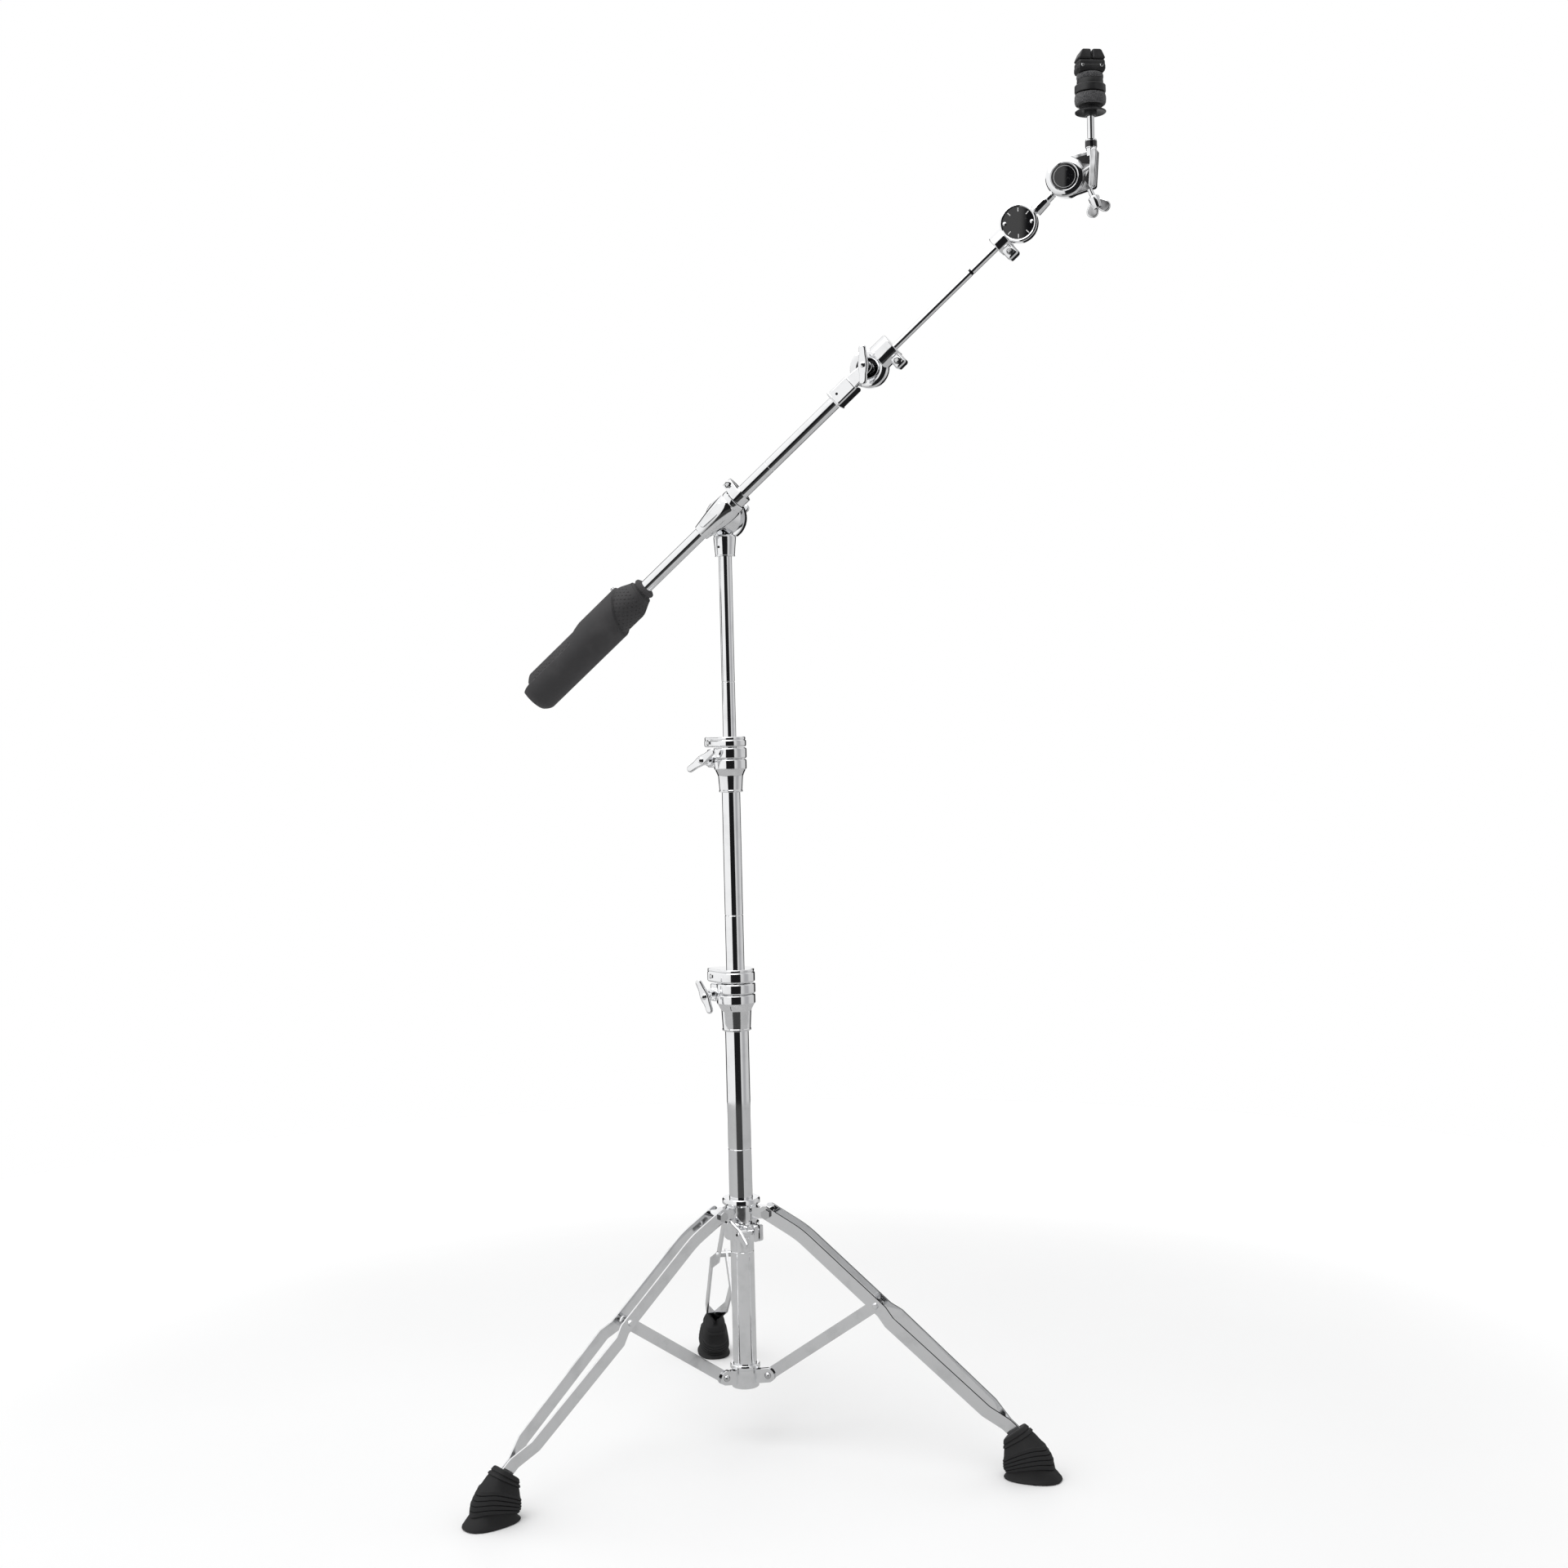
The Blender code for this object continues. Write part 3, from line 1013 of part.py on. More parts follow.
def make_head():
    ease = 0.0012
    back = STEM_DEPTH - STEM_NECK_RADIUS
    disc_place = Matrix.Translation((HEAD_AT, 0, 0))
    disc = turned(
        "head_disc",
        [
            (0, 0),
            (HEAD_DISC_RADIUS - ease, 0),
            (HEAD_DISC_RADIUS, -ease),
            (HEAD_DISC_RADIUS, back + ease),
            (HEAD_DISC_RADIUS - ease, back),
            (0, back),
        ],
        angle, disc_place, CHROME, 28, closed=False,
    )
    stem_place = Matrix.Translation((0, 0, STEM_DEPTH)) @ ALONG_X
    start = STEM_END + GAP
    neck = turned(
        "neck",
        [
            (0, 0.0600),
            (STEM_NECK_RADIUS - 0.0002, 0.0600),
            (STEM_NECK_RADIUS - 0.0002, start),
            (SWIVEL_RADIUS, start),
            (SWIVEL_RADIUS, 0.0340),
            (0, 0.0340),
        ],
        angle, stem_place, None, 20, closed=False,
    )
    axle = cylinder("axle", AXLE_RADIUS, -0.003, HEAD_THICKNESS - 0.0030, angle, disc_place, segments=16)
    weld(disc, neck, axle)

    low = GAP
    high = low + HEAD_THICKNESS
    outline = [(0, 0, HEAD_RADIUS), (*SPINE_TOP, SPINE_RADIUS), (*SPINE_BOTTOM, SPINE_RADIUS)]
    arm = hull("head_arm", outline, low, high - 0.0016, head, look=CHROME, segments=28)
    rim = turned(
        "rim",
        [
            (0, high + 0.0002),
            (HEAD_RADIUS * 0.80, high + 0.0002),
            (HEAD_RADIUS - 0.0004, high - 0.0024),
            (HEAD_RADIUS - 0.0004, low + 0.0020),
            (0, low + 0.0020),
        ],
        head, Matrix(), None, 28, closed=False,
    )
    standing = aim((0, 0, 0), (0, 1, 0))
    socket_place = Matrix.Translation((CYMBAL_AXIS, 0, CYMBAL_DEPTH)) @ standing
    socket = cylinder("rod_socket", ROD_SOCKET_RADIUS, 0.0200, ROD_SOCKET_TOP, head, socket_place, segments=20)
    spine = hull(
        "spine",
        [
            (SPINE_TOP[0] - 0.0012, SPINE_TOP[1] - 0.0006, 0.0042),
            (SPINE_BOTTOM[0] - 0.0008, SPINE_BOTTOM[1] + 0.0010, 0.0042),
        ],
        low + 0.0002, high, head, segments=16,
    )
    weld(arm, rim, socket, spine)
    rod_bore = cylinder("bore", ROD_RADIUS + GAP, 0.0150, 0.06, head, socket_place, segments=16)
    axle_hole = cylinder("hole", AXLE_HOLE, -0.01, high - 0.0025, head, segments=16)
    bolt_line = Vector((math.sin(HEAD_BOLT_SLOPE), -math.cos(HEAD_BOLT_SLOPE), 0))
    entry = Vector((0.0276, -0.0174, CYMBAL_DEPTH))
    bolt_place = aim(entry + bolt_line * 0.0185, -bolt_line)
    bolt_hole = cylinder("hole", AXLE_HOLE, 0.0, 0.0280, head, bolt_place, segments=16)
    carve(arm, rod_bore, axle_hole, bolt_hole)
    wing_bolt("head_wing_bolt", head, bolt_place, 0.0150, 0.0272, hub=0.0062, tip=0.0042)


def make_cymbal_stack():
    bore = ROD_RADIUS + GAP
    nut_base = CONE_BOTTOM + CONE_HEIGHT + LOWER_FELT_HEIGHT + FLANGE_HEIGHT + SPACER_HEIGHT + UPPER_FELT_HEIGHT
    nut_low = nut_base + 5 * GAP
    rod_top = nut_low + NUT_HEIGHT - 0.0006
    cylinder("cymbal_rod", ROD_RADIUS, 0.0153, rod_top, cymbal, Matrix(), CHROME, segments=16)

    top = CONE_BOTTOM + CONE_HEIGHT
    profile = [
        (bore, top),
        (0.0115, top),
        (0.0125, top - 0.0014),
        (0.0112, top - 0.0042),
        (CONE_RADIUS, CONE_BOTTOM + 0.0026),
        (CONE_RADIUS, CONE_BOTTOM + 0.0008),
        (CONE_RADIUS - 0.0012, CONE_BOTTOM),
        (0.0070, CONE_BOTTOM + 0.0030),
        (bore, CONE_BOTTOM + 0.0030),
    ]
    turned("cone_washer", profile, cymbal, look=PLASTIC)

    felt_bore = SLEEVE_RADIUS + GAP
    low = top + GAP
    high = low + LOWER_FELT_HEIGHT
    tube("lower_felt", FELT_RADIUS, FELT_RADIUS - felt_bore, low, high, cymbal, look=FELT)
    flange_low = high + GAP
    flange_high = flange_low + FLANGE_HEIGHT
    spacer_high = flange_high + SPACER_HEIGHT
    upper_low = spacer_high + GAP
    upper_high = upper_low + UPPER_FELT_HEIGHT
    profile = [
        (bore, upper_high - 0.0006),
        (SLEEVE_RADIUS, upper_high - 0.0006),
        (SLEEVE_RADIUS, spacer_high),
        (UPPER_FELT_RADIUS, spacer_high),
        (UPPER_FELT_RADIUS, flange_high + 0.0006),
        (FELT_RADIUS + 0.0002, flange_high),
        (FELT_RADIUS, flange_low),
        (SLEEVE_RADIUS, flange_low),
        (SLEEVE_RADIUS, low + 0.0006),
        (bore, low + 0.0006),
    ]
    turned("cymbal_sleeve", profile, cymbal, look=PLASTIC)
    tube("upper_felt", UPPER_FELT_RADIUS, UPPER_FELT_RADIUS - felt_bore, upper_low, upper_high, cymbal, look=FELT)
    make_nut(upper_high + GAP)


def make_nut(low):
    turned_frame = around_z(NUT_TURN)
    high = low + NUT_HEIGHT
    half = NUT_WIDTH / 2
    deep = NUT_DEPTH / 2
    body = block(
        "quick_nut", (-half, -deep, low), (half, deep, high), cymbal, turned_frame, PLASTIC, bevel=0.0018
    )
    cut = cylinder("bore", ROD_RADIUS + GAP, low - 0.01, high + 0.01, cymbal, segments=16)
    pockets = [
        block("pocket", (side * 0.0105 - 0.0029, -0.0046, high - 0.0098), (side * 0.0105 + 0.0029, 0.0046, high + 0.01),
              cymbal, turned_frame)
        for side in (-1, 1)
    ]
    carve(body, cut, *pockets)
    pin_height = high - 0.0070
    for side, label in ((-1, "left"), (1, "right")):
        pin = frame(
            f"lever_{label}_axis", cymbal, turned_frame @ Matrix.Translation((side * LEVER_PIN_AT, 0, pin_height))
        )
        inner = side * LOBE_SLOT / 2 - side * LEVER_PIN_AT
        outer = side * (half - 0.0006) - side * LEVER_PIN_AT
        left, right = sorted((inner, outer))
        foot_level = high - pin_height + 0.0009
        lever = block(
            f"release_lever_{label}", (left, -deep + 0.0006, foot_level), (right, deep - 0.0006, foot_level + LOBE_HEIGHT),
            pin, look=PLASTIC, bevel=0.0030,
        )
        tang = block("tang", (-0.0020, -0.0040, -0.0022), (0.0020, 0.0040, foot_level + 0.004), pin)
        weld(lever, tang)


make_base()
make_legs()
make_leg_collar()
make_mast()
make_tilter_base()
make_sleeve()
make_boom()
make_knuckle()
make_rod_and_angle()
make_head()
make_cymbal_stack()


def centre_on_footprint():
    """Moves the stand so that the middle of its overall box is over the origin."""
    bpy.context.view_layer.update()
    depsgraph = bpy.context.evaluated_depsgraph_get()
    corners = []
    for obj in parts.objects:
        if obj.type == "MESH":
            shape = obj.evaluated_get(depsgraph)
            corners.extend(shape.matrix_world @ vert.co for vert in shape.data.vertices)
    for axis in (0, 1):
        values = [corner[axis] for corner in corners]
        stand.location[axis] -= (min(values) + max(values)) / 2
    bpy.context.view_layer.update()


centre_on_footprint()
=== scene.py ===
# %% [markdown]
# # A double-braced cymbal boom stand
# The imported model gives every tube, clamp and joint its place. This lesson dresses that frame: polished plating
# on tubes and castings, moulded rubber on the feet and the counterweight, black plastic and felt at the top.
# The frame is loaded first, because every position below is read from it.

# %% Load the frame
import json
import math

import bmesh
import bpy
from mathutils import Matrix, Vector


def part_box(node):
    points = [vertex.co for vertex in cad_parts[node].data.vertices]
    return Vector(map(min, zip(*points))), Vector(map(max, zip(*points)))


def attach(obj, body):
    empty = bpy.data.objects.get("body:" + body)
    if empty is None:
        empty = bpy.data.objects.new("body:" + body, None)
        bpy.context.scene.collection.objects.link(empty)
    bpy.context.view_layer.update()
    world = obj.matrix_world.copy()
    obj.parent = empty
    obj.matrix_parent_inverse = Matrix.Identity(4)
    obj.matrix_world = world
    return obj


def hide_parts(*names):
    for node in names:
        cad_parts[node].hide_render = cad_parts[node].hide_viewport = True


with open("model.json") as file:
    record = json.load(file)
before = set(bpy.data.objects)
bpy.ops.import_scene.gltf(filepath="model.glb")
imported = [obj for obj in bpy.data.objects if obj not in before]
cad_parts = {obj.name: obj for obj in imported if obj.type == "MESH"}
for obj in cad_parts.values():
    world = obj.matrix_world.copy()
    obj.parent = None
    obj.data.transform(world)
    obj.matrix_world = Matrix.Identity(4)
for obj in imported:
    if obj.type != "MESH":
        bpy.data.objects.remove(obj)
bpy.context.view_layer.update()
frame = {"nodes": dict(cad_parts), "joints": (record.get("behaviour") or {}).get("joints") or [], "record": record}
joints = {joint["name"]: joint for joint in frame["joints"]}

# %% [markdown]
# ## Frames to build in
# A clamp or a head is easiest to shape around its own axis. Each joint of the model gives a point and a
# direction, and two directions make a turned frame: shapes are made at the origin and then moved into it.

# %% Turned frames


def spot(name):
    return Vector(joints[name]["pos_m"])


def direction(name):
    return Vector(joints[name]["axis"]).normalized()


def frame_at(origin, x_axis, y_axis, z_axis):
    return Matrix.Translation(origin) @ Matrix((x_axis, y_axis, z_axis)).transposed().to_4x4()


def aimed(origin, z_axis, x_axis):
    """A frame whose Z points one way and whose X leans as near to another way as it can."""
    z = Vector(z_axis).normalized()
    y = z.cross(Vector(x_axis)).normalized()
    return frame_at(origin, y.cross(z), y, z)


def shifted(x, y, z):
    return Matrix.Translation((x, y, z))


UP = Vector((0, 0, 1))
ALONG = direction("boom_turn")
FRONT = direction("tilter_hinge")
ACROSS = FRONT.cross(ALONG)
OUT = UP.cross(FRONT)
mast_x, mast_y, _ = spot("middle_turn")
mast = shifted(mast_x, mast_y, 0)
boom = frame_at(spot("tilter_hinge"), ALONG, ACROSS, FRONT)
knuckle = frame_at(spot("knuckle_hinge"), ALONG, ACROSS, FRONT)
angle = frame_at(spot("angle_hinge"), ALONG, ACROSS, FRONT)
head = frame_at(spot("head_tilt"), OUT, UP, FRONT)
along_x = aimed((0, 0, 0), (1, 0, 0), (0, 1, 0))  # lays a turned blank along a frame's X
print("boom rises", round(math.degrees(math.asin(ALONG.z)), 1), "degrees")

# %% [markdown]
# ## Camera
# The camera stands in front of the mast, a little above its middle, and looks nearly level. A camera could be
# aimed with a constraint. Here a distance, a height and three small turns place it, so its view never drifts.

# %% Camera
scene = bpy.context.scene
CAMERA_DISTANCE = 2.3874
CAMERA_HEIGHT = 0.8834
CAMERA_FOCAL = 45.507
CAMERA_YAW, CAMERA_PITCH, CAMERA_ROLL = map(math.radians, (-1.5387, -1.9414, 1.3718))
camera = bpy.data.objects.new("camera", bpy.data.cameras.new("camera"))
camera.data.lens = CAMERA_FOCAL
camera.data.sensor_width = 36
camera.data.clip_end = 60
scene.collection.objects.link(camera)
place = shifted(mast_x, mast_y - CAMERA_DISTANCE, CAMERA_HEIGHT)
for turn, axis in ((CAMERA_YAW, "Z"), (CAMERA_PITCH, "X"), (CAMERA_ROLL, "Y"), (math.pi / 2, "X")):
    place = place @ Matrix.Rotation(turn, 4, axis)
camera.matrix_world = place
scene.camera = camera
scene.view_settings.view_transform = "Standard"
print("camera", CAMERA_DISTANCE, "m in front of the mast")

# %% [markdown]
# ## Shader sums written as sums
# A material is a chain of small sums on sockets. This class lets Python's own operators build the nodes, so
# that a mask reads as a formula. Any other node comes from one method that takes its type and settings.

# %% Sockets and nodes


class Socket:
    def __init__(self, nodes, socket):
        self.nodes = nodes
        self.socket = socket

    def maths(self, operation, *others):
        return self.nodes.add("Math", {"operation": operation}, self, *others)

    def __add__(self, other):
        return self.maths("ADD", other)

    def __radd__(self, other):
        return self.maths("ADD", other)

    def __sub__(self, other):
        return self.maths("SUBTRACT", other)

    def __rsub__(self, other):
        return self.nodes.add("Math", {"operation": "SUBTRACT"}, other, self)

    def __mul__(self, other):
        return self.maths("MULTIPLY", other)

    def __rmul__(self, other):
        return self.maths("MULTIPLY", other)

    def between(self, low, high):
        """Rises smoothly from 0 to 1 as the value goes from low to high."""
        settings = {"interpolation_type": "SMOOTHSTEP"}
        return self.nodes.add("MapRange", settings, self, low, high, 0.0, 1.0)


class Nodes:
    def __init__(self, tree):
        self.tree = tree

    def add(self, kind, settings, *inputs, output=0, **named):
        node = self.tree.nodes.new("ShaderNode" + kind)
        for key, value in settings.items():
            setattr(node, key, value)
        given = dict(enumerate(inputs))
        given.update({key.replace("_", " "): value for key, value in named.items()})
        for key, value in given.items():
            if isinstance(value, Socket):
                self.tree.links.new(value.socket, node.inputs[key])
            elif value is not None:
                node.inputs[key].default_value = value
        return Socket(self, node.outputs[output])

    def place(self, location=(0, 0, 0), rotation=(0, 0, 0), scale=(1, 1, 1)):
        """The point being shaded, seen from a frame with this place, turn and scale."""
        coordinates = self.add("TexCoord", {}, output="Object")
        return self.add("Mapping", {"vector_type": "TEXTURE"}, coordinates, location, rotation, scale)

    def noise(self, where, scale, detail=3.0, roughness=0.5):
        return self.add("TexNoise", {}, Vector=where, Scale=scale, Detail=detail, Roughness=roughness)

    def axes(self, where):
        """The three numbers of a point, one socket each."""
        split = self.add("SeparateXYZ", {}, where).socket.node
        return [Socket(self, output) for output in split.outputs]

    def mix(self, share, first, second):
        """A colour between two others. A Mix node's colours are its sockets 6 and 7, its result is output 2."""
        node = self.add("Mix", {"data_type": "RGBA"}, share, output=2)
        for index, value in ((6, first), (7, second)):
            socket = node.socket.node.inputs[index]
            if isinstance(value, Socket):
                self.tree.links.new(value.socket, socket)
            else:
                socket.default_value = (*value, 1)
        return node

    def bump(self, height, distance, strength=1.0, normal=None):
        return self.add("Bump", {}, Strength=strength, Distance=distance, Height=height, Normal=normal)


def finish(name, build, **fixed):
    """A material: fixed sockets of its shader, and a function that links the ones that vary."""
    material = bpy.data.materials.new(name)
    material.use_nodes = True
    shader = material.node_tree.nodes["Principled BSDF"]
    for key, value in fixed.items():
        shader.inputs[key.replace("_", " ")].default_value = value
    nodes = Nodes(material.node_tree)
    for key, value in build(nodes).items():
        material.node_tree.links.new(value.socket, shader.inputs[key.replace("_", " ")])
    print("finish", name, len(material.node_tree.nodes), "nodes")
    return material


# %% [markdown]
# ## The white room
# Polished metal shows only what surrounds it, so the studio is a white room with a few dark panels: they draw
# the black stripes down the tubes. Real panels could stand there as planes. These are painted on the world's
# colour instead, so nothing extra stands around the stand, and the camera itself sees plain white.

# %% The white room and its dark panels
FRONT_PANEL = 0.49  # half its width, in radians, seen from the stand
BACK_PANELS_AT, BACK_PANEL = 2.60, 0.25
SIDE_SHADE_AT = 1.15  # a grey strip on the right
PANEL_TOP, PANEL_BOTTOM = 0.50, -0.62  # as sines of the height angle
PANEL_BLUR = 0.06
PANEL_COLOUR, SIDE_COLOUR = (0.012, 0.012, 0.013), (0.42, 0.42, 0.43)


def build_studio():
    world = bpy.data.worlds.new("studio")
    scene.world = world
    world.use_nodes = True
    nodes = Nodes(world.node_tree)
    x, y, z = nodes.axes(nodes.add("TexCoord", {}, output="Generated"))
    around = x.maths("ARCTAN2", y * -1.0)
    front = 1.0 - around.maths("ABSOLUTE").between(FRONT_PANEL, FRONT_PANEL + 0.05)
    back_off = (around.maths("ABSOLUTE") - BACK_PANELS_AT).maths("ABSOLUTE")
    back = 1.0 - back_off.between(BACK_PANEL, BACK_PANEL + PANEL_BLUR)
    grey_side = (around - SIDE_SHADE_AT).maths("ABSOLUTE").between(0.10, 0.45)
    height = z.between(PANEL_BOTTOM - 0.04, PANEL_BOTTOM) * (1.0 - z.between(PANEL_TOP, PANEL_TOP + PANEL_BLUR))
    dark = front.maths("MAXIMUM", back) * height
    brighter_above = 0.10 * z.between(0.1, 0.9)
    dimmer_right = 0.32 * x.between(0.0, 0.75)
    dimmer_below = 0.22 * (z * -1.0).between(0.0, 0.6)
    level = 0.97 + brighter_above - dimmer_right - dimmer_below
    room = nodes.add("CombineColor", {}, level, level, level)
    room = nodes.mix(grey_side, SIDE_COLOUR, room)
    room = nodes.mix(dark, room, PANEL_COLOUR)
    is_seen = nodes.add("LightPath", {}, output="Is Camera Ray")
    seen = nodes.mix(is_seen, room, (1, 1, 1))
    world.node_tree.links.new(seen.socket, world.node_tree.nodes["Background"].inputs["Color"])
    print("studio", len(world.node_tree.nodes), "nodes")


build_studio()

# %% [markdown]
# ## Floor and soft light
# A pale matte floor catches a faint shadow under the feet. It is round and ends just before the camera, so the
# tubes above the tripod can still mirror the dark panel, and it glows towards its rim, so that it fades into the
# white room without an edge. One wide soft light overhead shapes the rubber.

# %% Floor and lamp
FLOOR_RADIUS = 2.15
FLOOR_DROP = 0.0005  # keeps the soles just above the floor
GLOW_FROM, GLOW_TO = 0.5, 3.6  # squares of the distance from the mast
FLOOR_MIRRORED, FLOOR_IN_SHADE = (0.48, 0.48, 0.48), (0.02, 0.02, 0.02)
LAMP_WIDTH, LAMP_WATTS = 2.6, 26
LAMP_FROM_MAST, LAMP_AIM_HEIGHT = Vector((-0.6, -0.9, 3.0)), 0.7


def build_floor(nodes):
    """Pale to the eye. In the plating's reflections it is painted greyer, and painted dark beyond a metre in
    front, as shade.
    """
    mirrored = nodes.add("LightPath", {}, output="Is Glossy Ray")
    where = nodes.place()
    pale = nodes.mix(nodes.noise(where, 3.0), (0.93, 0.93, 0.93), (0.96, 0.96, 0.96))
    x, y, _ = nodes.axes(where)
    around = x.maths("ARCTAN2", y * -1.0).maths("ABSOLUTE")
    front = 1.0 - around.between(FRONT_PANEL, FRONT_PANEL + 0.08)
    far = (y * -1.0).between(0.85, 1.10)
    grey = nodes.mix(front * far, FLOOR_MIRRORED, FLOOR_IN_SHADE)
    glow = (x * x + y * y).between(GLOW_FROM, GLOW_TO) * (1.0 - mirrored)
    return {
        "Base_Color": nodes.mix(mirrored, pale, grey),
        "Emission_Color": nodes.mix(glow, (0.0, 0.0, 0.0), (0.5, 0.5, 0.5)),
    }


def floor_and_lamp():
    shape = bmesh.new()
    bmesh.ops.create_circle(shape, cap_ends=True, segments=96, radius=FLOOR_RADIUS)
    mesh = bpy.data.meshes.new("floor")
    shape.to_mesh(mesh)
    shape.free()
    floor = bpy.data.objects.new("floor", mesh)
    floor.location = (mast_x, mast_y, -FLOOR_DROP)
    mesh.materials.append(finish("floor_paint", build_floor, Roughness=0.9, Emission_Strength=1.0))
    scene.collection.objects.link(floor)
    lamp = bpy.data.objects.new("overhead", bpy.data.lights.new("overhead", "AREA"))
    lamp.data.shape = "DISK"
    lamp.data.size = LAMP_WIDTH
    lamp.data.energy = LAMP_WATTS
    lamp.location = mast.translation + LAMP_FROM_MAST
    aim = mast.translation + UP * LAMP_AIM_HEIGHT - lamp.location
    lamp.rotation_euler = aim.to_track_quat("-Z", "Y").to_euler()
    scene.collection.objects.link(lamp)
    print("floor", FLOOR_RADIUS, "m in radius, lamp", LAMP_WATTS, "W")


floor_and_lamp()

# %% [markdown]
# ## Finishes
# Polished plating is a mirror with faults: a haze of fingerprints, hairline scratches and a slow waviness left
# by buffing. Tubes are drawn straight and are nearly perfect, castings are wavier, and flat bars keep the fine
# lines of rolling. The colour hardly changes, so most of the detail goes into roughness and bump.

# %% Plating


def plating(name, waviness, haze, lines, tint=(0.90, 0.905, 0.915)):
    def build(nodes):
        where = nodes.place()
        fingerprints = nodes.noise(where, 38.0, 4.0, 0.62).between(0.46, 0.72)
        grain = nodes.noise(nodes.place(scale=(1, 1, 14)), 900.0, 2.0)
        dulled = tuple(0.90 * value for value in tint)
        wave = nodes.bump(nodes.noise(where, 55.0, 1.0), waviness)
        return {
            "Base_Color": nodes.mix(fingerprints, tint, dulled),
            "Roughness": 0.028 + haze * fingerprints + lines * grain,
            "Normal": nodes.bump(grain, 0.00001, 0.2, wave),
        }

    return finish(name, build, Metallic=1.0)


tube_plating = plating("tube_plating", 0.00002, 0.05, 0.02)
cast_plating = plating("cast_plating", 0.00020, 0.06, 0.03)
bar_plating = plating("bar_plating", 0.00008, 0.10, 0.10, (0.86, 0.865, 0.875))
screw_steel = plating("screw_steel", 0.0001, 0.16, 0.16, (0.66, 0.665, 0.67))

# %% [markdown]
# Moulded rubber is almost black, with a fine pebble from the mould, paler scuffs on the parts that stand out
# and a little dust. Felt is pressed fibre: flecks of grey in a dark mat. The plastic is satin black.

# %% Rubber, plastic and felt


def rubber(name, colour, scuff, grain_size):
    def build(nodes):
        where = nodes.place()
        pebble = nodes.noise(where, grain_size, 2.0, 0.6)
        patches = nodes.noise(where, 24.0, 4.0, 0.6).between(0.45, 0.75)
        edges = nodes.add("NewGeometry", {}, output="Pointiness").between(0.51, 0.58)
        worn = patches.maths("MAXIMUM", edges * 0.8)
        return {
            "Base_Color": nodes.mix(worn, colour, scuff),
            "Roughness": 0.52 + 0.22 * worn + 0.10 * pebble,
            "Normal": nodes.bump(pebble, 0.00012, 0.6),
        }

    return finish(name, build, Specular_IOR_Level=0.35)


def build_plastic(nodes):
    where = nodes.place()
    mould = nodes.noise(where, 1400.0, 2.0)
    patches = nodes.noise(where, 60.0, 3.0).between(0.45, 0.7)
    return {
        "Base_Color": nodes.mix(patches, (0.014, 0.014, 0.015), (0.024, 0.024, 0.025)),
        "Roughness": 0.36 + 0.12 * patches + 0.08 * mould,
        "Normal": nodes.bump(mould, 0.00005, 0.5),
    }


def build_felt(nodes):
    where = nodes.place()
    flecks = nodes.noise(where, 900.0, 5.0, 0.75).between(0.40, 0.66)
    fibres = nodes.noise(nodes.place(scale=(1, 1, 0.35)), 500.0, 6.0, 0.8)
    return {
        "Base_Color": nodes.mix(flecks, (0.030, 0.030, 0.032), (0.150, 0.150, 0.155)),
        "Roughness": 0.86 + 0.12 * fibres,
        "Normal": nodes.bump(fibres, 0.0009, 0.9),
    }


def build_nylon(nodes):
    where = nodes.place()
    cloudy = nodes.noise(where, 90.0, 3.0)
    return {
        "Base_Color": nodes.mix(cloudy, (0.72, 0.71, 0.66), (0.80, 0.79, 0.75)),
        "Roughness": 0.42 + 0.14 * cloudy,
        "Normal": nodes.bump(nodes.noise(where, 700.0), 0.00004, 0.5),
    }


def build_gloss(nodes):
    where = nodes.place()
    dust = nodes.noise(where, 420.0, 3.0).between(0.56, 0.74)
    return {
        "Base_Color": nodes.mix(dust, (0.006, 0.006, 0.007), (0.016, 0.016, 0.017)),
        "Roughness": 0.05 + 0.20 * dust,
    }


def build_mark(nodes):
    wear = nodes.noise(nodes.place(), 1200.0, 3.0).between(0.45, 0.7)
    return {
        "Base_Color": nodes.mix(wear, (0.82, 0.82, 0.82), (0.60, 0.60, 0.60)),
        "Roughness": 0.35 + 0.2 * wear,
    }


foot_rubber = rubber("foot_rubber", (0.0075, 0.0075, 0.008), (0.020, 0.020, 0.021), 700.0)
weight_rubber = rubber("weight_rubber", (0.040, 0.039, 0.041), (0.062, 0.060, 0.062), 900.0)
black_plastic = finish("black_plastic", build_plastic, Specular_IOR_Level=0.4)
black_gloss = finish("black_gloss", build_gloss, Coat_Weight=0.4, Coat_Roughness=0.04)
felt_mat = finish(
    "pressed_felt", build_felt, Specular_IOR_Level=0.15, Sheen_Weight=0.25, Sheen_Roughness=0.5
)
nylon = finish("nylon", build_nylon)
white_mark = finish("white_mark", build_mark)
# Painted shade: a black finish for thin pieces set into holes, gaps, slots and grooves, standing in for the shade
# inside them.
painted_hollow_shade = finish("painted_hollow_shade", build_gloss, Metallic=0.6)

# %% [markdown]
# ## Tools for shaping
# Every new piece is made from a few kinds of blank: a turned profile, a plate whose outline wraps some circles,
# a bevelled block. Blanks are joined in the piece's own frame and only then moved to where the frame says.

# %% Blanks


def turned(profile, steps=48):
    """A profile of (radius, height) points spun a full turn round Z."""
    shape = bmesh.new()
    points = [shape.verts.new((radius, 0, height)) for radius, height in profile]
    edges = [shape.edges.new(pair) for pair in zip(points, points[1:])]
    bmesh.ops.spin(
        shape, geom=points + edges, cent=(0, 0, 0), axis=(0, 0, 1), dvec=(0, 0, 0), angle=2 * math.pi,
        steps=steps, use_merge=True, use_duplicate=False,
    )
    bmesh.ops.remove_doubles(shape, verts=shape.verts, dist=0.000002)
    bmesh.ops.recalc_face_normals(shape, faces=shape.faces)
    return shape


